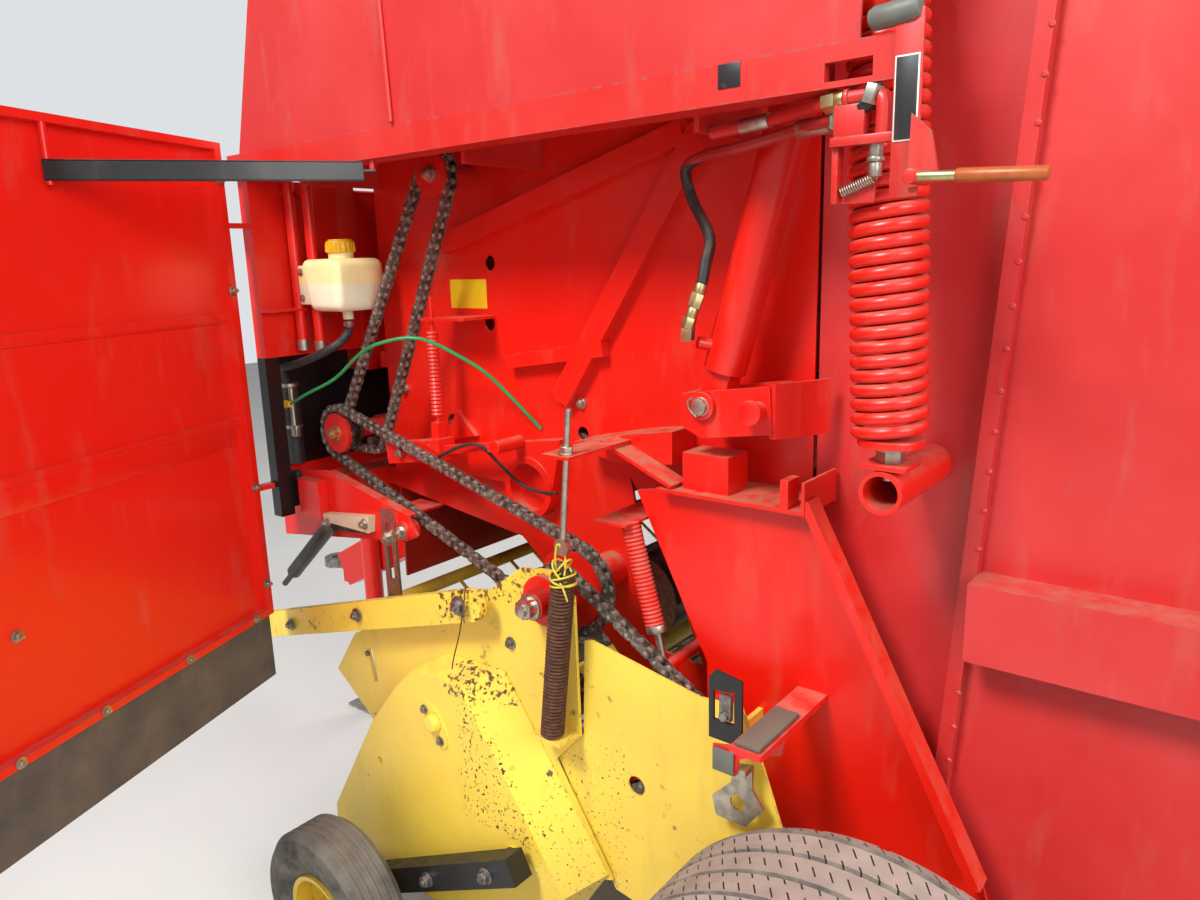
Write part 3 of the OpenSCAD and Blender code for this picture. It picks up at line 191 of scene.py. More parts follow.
def inside(tree, point, low, high):
    """1 within a box given in mm over the ground, the same on both sides of the machine."""
    axes = add(tree, "SeparateXYZ", {0: point})
    away = add(tree, "Math", {0: axes.outputs[1]}, operation="ABSOLUTE").outputs[0]
    low, high = place(*low), place(*high)
    mask = None
    for socket, axis in ((axes.outputs[0], 0), (away, 1), (axes.outputs[2], 2)):
        for kind, limit in (("GREATER_THAN", low[axis]), ("LESS_THAN", high[axis])):
            test = add(tree, "Math", {0: socket}, operation=kind, inputs={1: limit}).outputs[0]
            mask = times(tree, mask, test) if mask else test
    return mask


# Materials
def enamel(name, body, faded, dust="#9C8570", dusty=0.5, chipped=0.35, rust=0.0, gloss=0.32,
           regions=(), grime=()):
    """Sprayed machinery enamel on sheet steel: a glossy coat with slight orange peel, fields that the sun has
    faded, dust on what looks up, and bare or rusty steel where edges are knocked. regions are boxes of
    another colour (low, high, colour), which is another paint, and on the front frame painted shade; grime
    boxes of stains (low, high, size, least, colour)."""
    material, tree, shader, point = new_material(name, IOR=1.5, Coat_Weight=0.2, Coat_Roughness=0.2)
    fade = spots(tree, point, 420, 0.42, 0.72, 5)
    tone = mixed(tree, fade, colour(body), colour(faded))
    streak = spots(tree, point, 60, 0.55, 0.8, 6, (1.0, 1.0, 0.25))
    tone = mixed(tree, times(tree, streak, 0.22), tone, colour(dust))
    settled = times(tree, times(tree, upward(tree), spots(tree, point, 35, 0.3, 0.65, 6)), dusty)
    tone = mixed(tree, settled, tone, colour(dust))
    if rust:
        stain = times(tree, spots(tree, point, 26, 0.6, 0.68, 8), spots(tree, point, 210, 0.5, 0.62, 3))
        tone = mixed(tree, times(tree, stain, rust), tone, colour("#4A2A1C"))
    chips = times(tree, times(tree, edge_wear(tree, 4), spots(tree, point, 14, 0.5, 0.6, 8)), chipped)
    tone = mixed(tree, chips, tone, colour("#6E655F"))
    for low, high, code in regions:
        tone = mixed(tree, inside(tree, point, low, high), tone, colour(code))
    for low, high, mm, amount, code in grime:
        patch = times(tree, inside(tree, point, low, high), spots(tree, point, mm, amount, amount + 0.05, 8))
        tone = mixed(tree, patch, tone, colour(code))
    set_tone(tree, shader, tone)
    rough = add(tree, "MapRange", {0: noise(tree, point, 130, 6)},
                inputs={3: gloss - 0.07, 4: gloss + 0.16}).outputs[0]
    rough = add(tree, "Math", {0: rough, 1: settled}, operation="ADD", use_clamp=True).outputs[0]
    tree.links.new(rough, shader.inputs["Roughness"])
    bumped(tree, shader, (noise(tree, point, 170, 2), 0.35, 6.0), (noise(tree, point, 3, 2), 0.12, 0.3))
    return material


def metal(name, bright, dull, rough=0.38, mm=18, rust=0.0, metallic=1.0):
    """Turned or plated steel: plating that has dulled in patches, with fine scratches and some rust."""
    material, tree, shader, point = new_material(name, Metallic=metallic)
    tone = mixed(tree, spots(tree, point, mm, 0.35, 0.7, 6), colour(bright), colour(dull))
    if rust:
        eaten = times(tree, spots(tree, point, mm * 0.8, 0.48, 0.62, 8), rust)
        tone = mixed(tree, eaten, tone, colour("#5B3320"))
    set_tone(tree, shader, tone)
    set_rough(tree, shader, noise(tree, point, mm, 6), rough - 0.1, rough + 0.2)
    bumped(tree, shader, (noise(tree, point, 2.5, 4), 0.25, 0.3))
    return material


def rubber(name, base, dust, amount, mm=40, rough=0.72):
    """Moulded black rubber: matt, greyed by dust that lies in patches and on what looks up."""
    material, tree, shader, point = new_material(name, IOR=1.5)
    mask = times(tree, spots(tree, point, mm, 0.3, 0.7, 7), amount)
    tone = mixed(tree, mask, colour(base), colour(dust))
    tone = mixed(tree, times(tree, upward(tree), amount * 0.8), tone, colour(dust))
    set_tone(tree, shader, tone)
    set_rough(tree, shader, mask, rough, 0.95)
    bumped(tree, shader, (noise(tree, point, 6, 5), 0.4, 0.8))
    return material


def treaded(name, base, dust):
    """Tread of a used road tyre: dusty rubber cut by rows of short slits that lean outward."""
    material, tree, shader, point = new_material(name, IOR=1.5)
    axes = add(tree, "SeparateXYZ", {0: point})
    ahead = add(tree, "Math", {0: axes.outputs[0]}, operation="SUBTRACT", inputs={1: AXLE[0]}).outputs[0]
    above = add(tree, "Math", {0: axes.outputs[2]}, operation="SUBTRACT", inputs={1: AXLE[2]}).outputs[0]
    turn = add(tree, "Math", {0: above, 1: ahead}, operation="ARCTAN2").outputs[0]
    away = add(tree, "Math", {0: axes.outputs[1]}, operation="ABSOLUTE").outputs[0]
    around = times(tree, turn, SLITS / (2 * math.pi))
    count = add(tree, "Math", {0: around, 1: times(tree, away, SLIT_LEAN)}, operation="ADD").outputs[0]
    part = add(tree, "Math", {0: count}, operation="FRACT").outputs[0]
    slit = add(tree, "Math", {0: part}, operation="LESS_THAN", inputs={1: SLIT_WIDE}).outputs[0]
    rows = add(tree, "Math", {0: times(tree, away, 1 / SLIT_ROW)}, operation="FRACT").outputs[0]
    slit = times(tree, slit, add(tree, "Math", {0: rows}, operation="LESS_THAN", inputs={1: 0.55}).outputs[0])
    mask = times(tree, spots(tree, point, 50, 0.25, 0.7, 7), 0.85)
    tone = mixed(tree, mask, colour(base), colour(dust))
    tone = mixed(tree, times(tree, upward(tree), 0.6), tone, colour(dust))
    set_tone(tree, shader, mixed(tree, slit, tone, colour("#1C1A19")))
    set_rough(tree, shader, mask, 0.78, 0.95)
    bumped(tree, shader, (slit, 0.8, -3.0), (noise(tree, point, 5, 5), 0.45, 0.9))
    return material


def plastic(name, base, shade, rough=0.4, soft=0.0, mm=50):
    """Moulded plastic: even colour with slight clouds; soft lets light in under the skin."""
    material, tree, shader, point = new_material(name, IOR=1.48, Subsurface_Weight=soft, Subsurface_Scale=0.02,
                                                 Roughness=rough)
    set_tone(tree, shader, mixed(tree, spots(tree, point, mm, 0.3, 0.75, 4), colour(base), colour(shade)))
    bumped(tree, shader, (noise(tree, point, 4, 2), 0.12, 0.3))
    return material


def oiled_chain():
    """Roller chain under old oil: dark brown film in the gaps, plates rubbed brighter."""
    material, tree, shader, point = new_material("oiled_chain_steel", Metallic=0.3)
    film = spots(tree, point, 9, 0.38, 0.66, 6)
    tone = mixed(tree, film, colour("#3E352C"), colour("#8F877B"))
    tone = mixed(tree, times(tree, spots(tree, point, 45, 0.45, 0.6, 4), 0.6), tone, colour("#2E241D"))
    set_tone(tree, shader, tone)
    set_rough(tree, shader, film, 0.5, 0.3)
    bumped(tree, shader, (noise(tree, point, 3, 4), 0.35, 0.4))
    return material


def milky_tank():
    """Blow-moulded polyethylene tank: milky and slightly see-through, with oil up to a line."""
    material, tree, shader, point = new_material("milky_polyethylene", IOR=1.5, Roughness=0.35,
                                                 Subsurface_Weight=0.15, Subsurface_Scale=0.02)
    height = add(tree, "SeparateXYZ", {0: point}).outputs[2]
    line = place(0, 0, OIL_LEVEL)[2]
    full = add(tree, "MapRange", {0: height}, inputs={1: line - 0.002, 2: line + 0.002}).outputs[0]
    tone = mixed(tree, full, colour("#E4E0C2"), colour("#F0DC9E"))
    tone = mixed(tree, times(tree, spots(tree, point, 70, 0.45, 0.8, 4), 0.4), tone, colour("#C9B488"))
    set_tone(tree, shader, tone)
    bumped(tree, shader, (noise(tree, point, 30, 2), 0.25, 1.5))
    return material


AXLE = place(2697, 0, 415)
# Slits round a tyre, the share of the pitch that one takes, its lean per metre and a row's width in metres
SLITS, SLIT_WIDE, SLIT_LEAN, SLIT_ROW = 96, 0.11, 26.0, 0.034
OIL_LEVEL = 1662
RED, RED_FADED = "#DC1404", "#D8200E"
YELLOW, YELLOW_WORN, YELLOW_DIRT = "#F2D24A", "#E6C248", "#8A7448"
# The second colour is painted shade: near black for the dark hollow in the front frame.
OILY, PAINTED_SHADE_BLACK = "#3A2E27", "#0B0A0A"
WORN_YELLOW = dict(dust=YELLOW_DIRT, dusty=0.35, chipped=0.6, rust=0.75, gloss=0.42)
PAINT = {
    "red": enamel("red_enamel", RED, RED_FADED),
    # Pinker red for the tailgate and upper cover: partly dust, partly painted reflection of the sky.
    "dust_and_sky_reflection_red": enamel("red_enamel_dust_and_painted_sky_reflection", "#C02220", "#CA3836", dusty=0.4, chipped=0.5, gloss=0.42),
    "rail_red": enamel("red_enamel_scratched", "#C41C14", "#CC342E", chipped=1.0, gloss=0.4),
    "door_red": enamel("red_enamel_doors", "#EA1A0A", "#E42414"),
    "wall_red": enamel("red_enamel_walls", RED, RED_FADED, dust="#A87A5C", dusty=0.9),
    "hose_red": enamel("hose_in_red_sleeve", "#161617", "#2A2725", chipped=0.0, gloss=0.45, regions=[
        ((2222, 680, 1856), (2600, 900, 1915), "#A8241C")]),
    "dark_red": enamel("red_enamel_oily", "#CE1608", "#B41C10", dust="#3A2A20", dusty=0.7, chipped=0.5,
                       regions=[((1120, 690, 1200), (1290, 748, 1380), OILY),
                                ((1230, 670, 1230), (1340, 730, 1310), OILY),
                                ((1500, 690, 1810), (1640, 711, 1980), OILY)]),
    # On the front frame the near-black boxes are painted shade, where the hollow behind the front sheet and the
    # guard lies dark.
    "frame_red": enamel("red_enamel_frame", RED, RED_FADED, regions=[
        ((980, 200, 1180), (1084, 830, 1490), PAINTED_SHADE_BLACK), ((1040, 801, 1060), (1088, 872, 1483), PAINTED_SHADE_BLACK),
        ((980, 560, 1480), (1084.5, 840, 1492), PAINTED_SHADE_BLACK)]),
    "pickup_yellow": enamel("yellow_enamel_pickup", YELLOW, YELLOW_WORN, **WORN_YELLOW,
                            regions=[((1380, 885, 120), (2020, 1110, 540), "#17181A")],
                            grime=[((1760, 800, 985), (2110, 830, 1100), 14, 0.55, "#6A5230")]),
    "latch_red": enamel("red_enamel_latch", RED, "#D8281C", chipped=1.0, gloss=0.4,
                        regions=[((2370, 850, 860), (2450, 861.2, 1030), "#141517")]),
    "yellow": enamel("yellow_enamel", YELLOW, YELLOW_WORN, **WORN_YELLOW, grime=[
        ((1700, 800, 770), (2040, 890, 1060), 13, 0.52, "#5A4324"),
        ((1740, 870, 480), (1960, 890, 800), 9, 0.57, "#2A2018"),
        ((1960, 800, 420), (2150, 886, 760), 8, 0.6, "#3A2A1A")]),
    "wheel_yellow": enamel("yellow_enamel_wheel", "#E3C02E", "#D4AE30", dust=YELLOW_DIRT, dusty=0.4,
                           chipped=0.6, rust=0.4),
    "black": enamel("black_enamel", "#17181A", "#26282B", dust="#6B6255", dusty=0.5, chipped=0.3, gloss=0.38),
    "black_and_zinc": enamel("black_enamel_fittings", "#17181A", "#26282B", dusty=0.4, chipped=0.3, gloss=0.38,
                             regions=[((1236, 0, 850), (1243, 600.5, 1180), "#A8140C"),
                                      ((1198, 799, 1068), (1400, 845, 1115), "#C9BE9E")]),
}
METAL = {
    "zinc": metal("zinc_plated_steel", "#C9C4B4", "#9A968A", 0.36),
    "brass_zinc": metal("yellow_zinc_steel", "#CDBF8A", "#A89A6C", 0.34),
    "bare": metal("bare_steel", "#A9A6A1", "#76706A", 0.42, rust=0.4),
    "rusty": metal("rusty_spring_steel", "#6B4A36", "#3F2A20", 0.72, 12, rust=0.9, metallic=0.35),
    "worn": metal("rubbed_steel", "#B9B3AA", "#7E776E", 0.33, rust=0.3),
    "roller": metal("rubbed_roller_steel", "#C2BAAE", "#6E655A", 0.34, 12, metallic=0.6),
    "chrome": metal("hard_chrome", "#D9DADC", "#C2C4C8", 0.16),
}
TYRE = rubber("tyre_rubber", "#2B2A29", "#8F887C", 0.75, 60, 0.8)
TREAD = treaded("tread_rubber", "#45423F", "#AC9F92")
FLAP = rubber("flap_rubber", "#4A4641", "#77695A", 0.8, 120, 0.85)
HOSE = rubber("hose_rubber", "#161617", "#4A443C", 0.35, 25, 0.45)
BELT = rubber("belt_rubber", "#232323", "#5C564C", 0.5, 90)
TANK = milky_tank()
AMBER = plastic("amber_polypropylene", "#EDB31A", "#D89C14", 0.35, 0.25, 20)
GREEN = plastic("green_pvc", "#1F9A55", "#188048", 0.4)
WHITE = plastic("white_printed_film", "#E9E7E0", "#D8D4CA", 0.45)
SIGN = plastic("yellow_printed_film", "#F2D21E", "#E2C018", 0.45)
TAN = plastic("varnished_handle", "#B4602A", "#9C4A1C", 0.38, 0.05, 14)
LENS = plastic("red_lens", "#9C0F10", "#7C0A0C", 0.15, 0.3)
GREY_CAP = plastic("grey_moulded_cap", "#6F7268", "#5A5D54", 0.5)
CHAIN = oiled_chain()
TWINE = plastic("yellow_baler_twine", "#D9C93A", "#B9A83A", 0.6, 0.0, 6)

NODE_LOOK = {
    PAINT["frame_red"]: ["front_frame"],
    PAINT["red"]: ["drawbar", "jack_tube", "twine_box", "twine_lid", "cylinder_brackets", "barrel_left",
                   "barrel_right", "tension_springs", "chain_tensioner", "valve_stand"],
    PAINT["door_red"]: ["door_left", "door_right"],
    PAINT["wall_red"]: ["side_walls"],
    # The tailgate and upper cover take the pinker red that holds painted sky reflection as well as dust.
    PAINT["dust_and_sky_reflection_red"]: ["upper_cover", "tailgate"],
    PAINT["rail_red"]: ["top_rails"],
    PAINT["dark_red"]: ["gearbox", "sprockets"],
    PAINT["pickup_yellow"]: ["pickup_frame"],
    PAINT["latch_red"]: ["door_catch"],
    PAINT["yellow"]: ["pickup_shields", "rear_shields", "wind_guard"],
    PAINT["wheel_yellow"]: ["rim_left", "rim_right", "gauge_rim_left", "gauge_rim_right"],
    PAINT["black"]: ["stay_bar", "axle"],
    PAINT["black_and_zinc"]: ["black_fittings"],
    METAL["zinc"]: ["pickup_bands", "jack_leg", "zinc_parts"],
    METAL["worn"]: ["throat_rollers", "gate_rollers", "towing_eye", "tine_reel"],
    METAL["chrome"]: ["rod_left", "rod_right"],
    METAL["rusty"]: ["pickup_springs"],
    TYRE: ["gauge_tyre_left", "gauge_tyre_right"],
    TREAD: ["tyre_left", "tyre_right"],
    FLAP: ["flap_left", "flap_right"],
    BELT: ["belts"],
    HOSE: ["oil_line"],
    PAINT["hose_red"]: ["hydraulic_hoses"],
    GREEN: ["signal_cable"],
    TANK: ["oil_bottle"],
    LENS: ["rear_lamps"],
    CHAIN: ["chains"],
}


def dress_nodes():
    for material, names in NODE_LOOK.items():
        for name in names:
            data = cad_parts[name].data
            data.materials.clear()
            data.materials.append(material)


dress_nodes()


# Mesh helpers
def finish(name, bm, material, body="body", replaces=(), smooth=40, bevel=None):
    """Turns a bmesh into a piece that rides on a body."""
    bmesh.ops.remove_doubles(bm, verts=bm.verts, dist=1e-6)
    bmesh.ops.recalc_face_normals(bm, faces=bm.faces)
    data = bpy.data.meshes.new(name)
    bm.to_mesh(data)
    bm.free()
    piece = bpy.data.objects.new(name, data)
    bpy.context.scene.collection.objects.link(piece)
    data.materials.append(material)
    for face in data.polygons:
        face.use_smooth = True
    data.set_sharp_from_angle(angle=math.radians(smooth))
    if bevel:
        edge = piece.modifiers.new("edge", "BEVEL")
        edge.width, edge.segments, edge.limit_method = bevel / 1000, 2, "ANGLE"
    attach(piece, body)
    if replaces:
        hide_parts(*replaces)
    return piece


def along(start, end):
    """Matrix whose Z runs from start to end, placed halfway."""
    run = end - start
    turn = run.to_track_quat("Z", "Y").to_matrix().to_4x4()
    return Matrix.Translation((start + end) / 2) @ turn, run.length


def edges_of(verts):
    return list({e for v in verts for e in v.link_edges})


def verts_in(geom):
    return [g for g in geom if isinstance(g, bmesh.types.BMVert)]


def round_off(bm, edges, wide, segments=2):
    bmesh.ops.bevel(bm, geom=edges, affect="EDGES", offset=wide / 1000, segments=segments, profile=0.5,
                    material=-1)


def rod(bm, start, end, r, sides=20, r_end=None, chamfer=0.0):
    matrix, length = along(start, end)
    made = bmesh.ops.create_cone(bm, cap_ends=True, segments=sides, radius1=r / 1000,
                                 radius2=(r if r_end is None else r_end) / 1000, depth=length, matrix=matrix)
    if chamfer:
        rims = [e for e in edges_of(made["verts"]) if any(len(f.verts) > 4 for f in e.link_faces)]
        round_off(bm, rims, chamfer)


def block(bm, low, high, chamfer=0.0):
    centre, size = (low + high) / 2, high - low
    made = bmesh.ops.create_cube(bm, size=1, matrix=Matrix.Translation(centre) @ Matrix.Diagonal((*size, 1)))
    if chamfer:
        round_off(bm, edges_of(made["verts"]), chamfer)


def swept(bm, points, r, sides=12, closed=False):
    """A round section carried along points."""
    ways = []
    for i, point in enumerate(points):
        before = points[i - 1] if i or closed else point
        after = points[(i + 1) % len(points)] if i < len(points) - 1 or closed else point
        ways.append((after - before).normalized())
    side = ways[0].orthogonal().normalized()
    rings = []
    for point, way in zip(points, ways):
        side = (side - way * side.dot(way)).normalized()
        other = way.cross(side)
        ring = bmesh.ops.create_circle(bm, segments=sides, radius=r / 1000)["verts"]
        turn = Matrix((side, other, way)).transposed().to_4x4()
        bmesh.ops.transform(bm, matrix=Matrix.Translation(point) @ turn, verts=ring)
        rings.append(edges_of(ring))
    for i in range(len(rings) - (0 if closed else 1)):
        bmesh.ops.bridge_loops(bm, edges=rings[i] + rings[(i + 1) % len(rings)])
    if not closed:
        for ring in (rings[0], rings[-1]):
            bmesh.ops.contextual_create(bm, geom=ring)


def smooth_points(points, steps=6):
    """A smooth run through points, as the source makes it."""
    out = []
    for i in range(len(points) - 1):
        a, b, c, d = (points[max(i - 1, 0)], points[i], points[i + 1], points[min(i + 2, len(points) - 1)])
        for k in range(steps):
            t = k / steps
            square, cube = 2 * a - 5 * b + 4 * c - d, 3 * b - a - 3 * c + d
            out.append(0.5 * (2 * b + (c - a) * t + square * t * t + cube * t ** 3))
    return out + [points[-1]]


def laid(bm, stops, r, steps=6, sides=8):
    """A hose, cable or wire that runs smoothly through places given as place() takes them."""
    swept(bm, smooth_points([place(*stop) for stop in stops], steps), r, sides)


def coil(bm, start, end, r_mean, wire, turns, sides=10, steps=22):
    """A wound spring from start to end: a round section spun about its axis with a rise."""
    axis = (end - start).normalized()
    away = axis.cross(Vector((0, 1, 0))).normalized()
    ring = bmesh.ops.create_circle(bm, segments=sides, radius=wire / 2000)["verts"]
    turn = Matrix((away, axis, away.cross(axis))).transposed().to_4x4()
    bmesh.ops.transform(bm, matrix=Matrix.Translation(start + away * r_mean / 1000) @ turn, verts=ring)
    edges = edges_of(ring)
    rise = (end - start) / (turns * steps)
    made = bmesh.ops.spin(bm, geom=ring + edges, cent=start, axis=axis, dvec=rise, angle=2 * math.pi * turns,
                          steps=int(turns * steps), use_merge=False)
    last = [g for g in made["geom_last"] if isinstance(g, bmesh.types.BMEdge)]
    for rim in (edges, last):
        bmesh.ops.contextual_create(bm, geom=rim)


def mirrored(bm):
    """Adds the same forms on the machine's other side."""
    made = bmesh.ops.duplicate(bm, geom=bm.verts[:] + bm.edges[:] + bm.faces[:])["geom"]
    bmesh.ops.scale(bm, vec=(1, -1, 1), verts=verts_in(made))


def flipped(bm):
    """Moves the forms to the machine's other side."""
    bmesh.ops.scale(bm, vec=(1, -1, 1), verts=bm.verts[:])


def hex_bolt(bm, at, way, across, high, washer=0.0, stud=0.0):
    """A hexagon head or nut on a washer, standing on a face. at in the frame's metres, way outward."""
    way = way.normalized()
    lift = 0.0
    if washer:
        rod(bm, at, at + way * 0.003, washer / 2, 24, chamfer=0.6)
        lift = 0.003
    corner = across / 2 / math.cos(math.pi / 6)
    rod(bm, at + way * lift, at + way * (lift + high / 1000), corner, 6, chamfer=0.8)
    if stud:
        rod(bm, at + way * lift, at + way * (lift + stud / 1000), across * 0.28, 14, chamfer=0.5)


LEFT = Vector((0, -1, 0))


# Chains
# Pitch, half the height of a plate, distance of the middle chain from the machine's middle
PITCH, CHAIN_HALF = 25.4, 10.5
CHAIN_Y = 745
# Each loop: distance from the middle, then x, z and pitch radius of its sprockets
LOOPS = [
    (CHAIN_Y, [(1975, 1036, 97.3), (1203, 1287, 64.7)]),
    (CHAIN_Y - 45, [(1203, 1287, 45.1), (1294, 1270, 28.3), (1584, 1894, 49.1)]),
    (CHAIN_Y + 42, [(1975, 1036, 56.9), (2150, 705, 40), (2300, 860, 40)]),
]


def loop_pins(rollers):
    """Places of a chain's pins around its sprockets, as the source sets them."""
    count = len(rollers)
    ways, legs = [], []
    for i in range(count):
        a, b = rollers[i], rollers[(i + 1) % count]
        gap = math.hypot(b[0] - a[0], b[1] - a[1])
        ways.append(math.atan2(b[1] - a[1], b[0] - a[0]) - math.pi / 2 + math.asin((a[2] - b[2]) / gap))
    for i in range(count):
        a, b = rollers[i], rollers[(i + 1) % count]
        sweep = (ways[i] - ways[i - 1]) % (2 * math.pi)
        start = (a[0] + a[2] * math.cos(ways[i]), a[1] + a[2] * math.sin(ways[i]))
        end = (b[0] + b[2] * math.cos(ways[i]), b[1] + b[2] * math.sin(ways[i]))
        legs.append(("arc", a, ways[i - 1], a[2] * sweep))
        legs.append(("straight", start, ways[i], math.dist(start, end)))
    whole = sum(leg[3] for leg in legs)
    links = 2 * round(whole / PITCH / 2)
    pins = []
    for k in range(links):
        s = k * whole / links
        for leg in legs:
            if s <= leg[3]:
                break
            s -= leg[3]
        if leg[0] == "arc":
            way = leg[2] + s / leg[1][2]
            pins.append((leg[1][0] + leg[1][2] * math.cos(way), leg[1][1] + leg[1][2] * math.sin(way)))
        else:
            pins.append((leg[1][0] - s * math.sin(leg[2]), leg[1][1] + s * math.cos(leg[2])))
    return pins


def link_plate(bm, a, b, y, thick):
    """A waisted link plate between two pins, standing at |y|."""
    middle = place((a[0] + b[0]) / 2, -y, (a[1] + b[1]) / 2)
    half = math.dist(a, b) / 2000
    lean = math.atan2(b[1] - a[1], b[0] - a[0])
    turn = Matrix.Rotation(-lean, 4, "Y") @ Matrix.Rotation(math.pi / 2, 4, "X")
    ring = bmesh.ops.create_circle(bm, cap_ends=True, segments=12, radius=CHAIN_HALF / 1000)["verts"]
    for v in ring:
        if abs(v.co.x) < 1e-5:
            v.co.y *= 0.78
        else:
            v.co.x += math.copysign(half, v.co.x)
    faces = list({f for v in ring for f in v.link_faces})
    risen = bmesh.ops.extrude_face_region(bm, geom=faces)["geom"]
    top = verts_in(risen)
    bmesh.ops.translate(bm, vec=(0, 0, thick / 1000), verts=top)
    bmesh.ops.transform(bm, matrix=Matrix.Translation(middle) @ turn, verts=ring + top)


def link_chains():
    """Roller chains: rollers and pins at the pitch, inner and outer plates in turn."""
    plates, rollers = bmesh.new(), bmesh.new()
    inner, outer, thick = 8.6, 11.4, 2.6

    def across(x, z, y, low, high, r, sides):
        rod(rollers, place(x, -y - low, z), place(x, -y - high, z), r, sides)

    for y, sprockets in LOOPS:
        pins = loop_pins(sprockets)
        for k, pin in enumerate(pins):
            after = pins[(k + 1) % len(pins)]
            gap = inner if k % 2 == 0 else outer
            for side in (-1, 1):
                at = y + side * (gap - thick / 2) - thick / 2
                if gap == outer:
                    across(*pin, y, side * 11.2, side * 12.6, 4.6, 8)
                link_plate(plates, pin, after, at, thick)
            across(*pin, y, -5.8, 5.8, 7.9, 12)
            across(*pin, y, -12.4, 12.4, 4.1, 8)
    finish("chain_plates", plates, CHAIN, replaces=["chains"])
    finish("chain_rollers", rollers, METAL["roller"])


link_chains()


# Springs
def wind_tension_springs():
    """Large springs on the tailgate: coils, end plates, the arm above, the tube below and the bolt between."""
    red, bright = bmesh.new(), bmesh.new()
    x, y, low, high, lean = 2652, -800, 1436, 2060, 32
    coil(red, place(x - 3, y, low + 8), place(x - lean, y, high - 8), 46, 19, 30, 12, 26)
    for shift, z in ((0, low - 12), (lean, high)):
        rod(red, place(x - shift, y, z), place(x - shift, y, z + 12), 48, 32, chamfer=2)
    rod(red, place(x - lean, y, high + 12), place(x - lean, y, 2112), 12)
    block(red, place(x - lean - 20, -820, 2110), place(x - lean + 20, -606, 2140), 2)
    block(red, place(x - 34, y - 34, 1391), place(x + 34, y + 34, 1399), 2)
    tube = bmesh.ops.create_circle(red, segments=40, radius=0.032)["verts"]
    turn = Matrix.Rotation(math.pi / 2, 4, "X")
    bmesh.ops.transform(red, matrix=Matrix.Translation(place(x, -606, 1358)) @ turn, verts=tube)
    rim = edges_of(tube)
    for shift, r in (((0, -0.2300, 0), 1.0), ((0, 0, 0), 0.81), ((0, 0.2200, 0), 1.0)):
        made = bmesh.ops.extrude_edge_only(red, edges=rim)["geom"]
        verts = verts_in(made)
        rim = [g for g in made if isinstance(g, bmesh.types.BMEdge)]
        centre = sum((v.co for v in verts), Vector()) / len(verts)
        bmesh.ops.scale(red, vec=(r, 1, r), verts=verts, space=Matrix.Translation(-centre))
        bmesh.ops.translate(red, vec=shift, verts=verts)
    bmesh.ops.contextual_create(red, geom=rim)
    rod(bright, place(x, y, 1372), place(x, y, low - 8), 12, 20)
    rod(bright, place(x, y, 1399), place(x, y, 1417), 21, 6, chamfer=1)
    rod(bright, place(x, y, 1418), place(x, y, 1423), 26, 24)
    for bm in (red, bright):
        mirrored(bm)
    finish("tension_coils", red, PAINT["red"], "tailgate", replaces=["tension_springs"])
    finish("tension_bolts", bright, METAL["zinc"], "tailgate")


def wind_pickup_springs():
    """Springs that carry the pickup, and the twine tied round the left one's upper hook."""
    bm = bmesh.new()
    start, end = place(2007, -860, 766), place(2053.5, -860, 1118)
    coil(bm, start, end, 21.6, 6.4, 46, 8, 18)
    rod(bm, end, end + Vector((0, 0, 0.012)), 4, 10)
    mirrored(bm)
    finish("pickup_coils", bm, METAL["rusty"], "pickup", replaces=["pickup_springs"])
    cord = bmesh.new()
    top = place(2053, -860, 1112)
    for r, tilt, drop in ((25, 0.3, 0), (25.5, -0.25, 7), (25, 0.15, 15), (17, 1.2, -16), (20, -1.0, -10)):
        wide, low = r / 1000, drop / 1000
        ring = [top + Vector((wide * math.cos(a), wide * math.sin(a), tilt * wide * math.cos(a) - low))
                for a in (i * math.pi / 8 for i in range(16))]
        swept(cord, ring, 2.0, 8, closed=True)
    laid(cord, [(2041, -866, 1124), (2040, -866, 1150), (2050, -868, 1178), (2058, -858, 1150),
                (2065, -870, 1118)], 2.0)
    laid(cord, [(2066, -884, 1108), (2080, -890, 1098), (2086, -888, 1078)], 1.8, 5)
    finish("spring_cord", cord, TWINE, "pickup")


wind_tension_springs()
wind_pickup_springs()


# Bolts
# x, distance from the middle, z, across flats, washer, head height, stud
ZINC_BOLTS = [
    (1304, 606, 1388, 17, 26, 9, 16), (1420, 730, 1254, 22, 0, 9, 14), (1500, 806, 1088, 24, 38, 12, 20),
    (1450, 806.3, 1065, 24, 40, 12, 18), (1222, 820.3, 1066, 17, 26, 9, 14), (1378, 820.3, 1090, 17, 26, 9, 14),
    (1584, 718, 1894, 25, 36, 12, 16), (1900, 606, 1398, 17, 26, 8, 12),
]
PICKUP_BOLTS = [
    (1101, 880, 781, 19, 32, 9, 14), (1399, 880, 880, 19, 34, 9, 14), (1778, 886, 995, 24, 44, 11, 18),
    (1634, 884, 709, 13, 22, 6, 0), (1682, 884, 645, 13, 22, 6, 0), (1861, 820, 908, 16, 28, 8, 12),
    (1965, 820, 642, 16, 26, 8, 12), (2069, 820, 480, 16, 26, 8, 12), (1344, 820, 742, 14, 0, 6, 0),
    (1682, 950, 327, 24, 36, 12, 18), (1881, 950, 431, 24, 36, 12, 18),
]


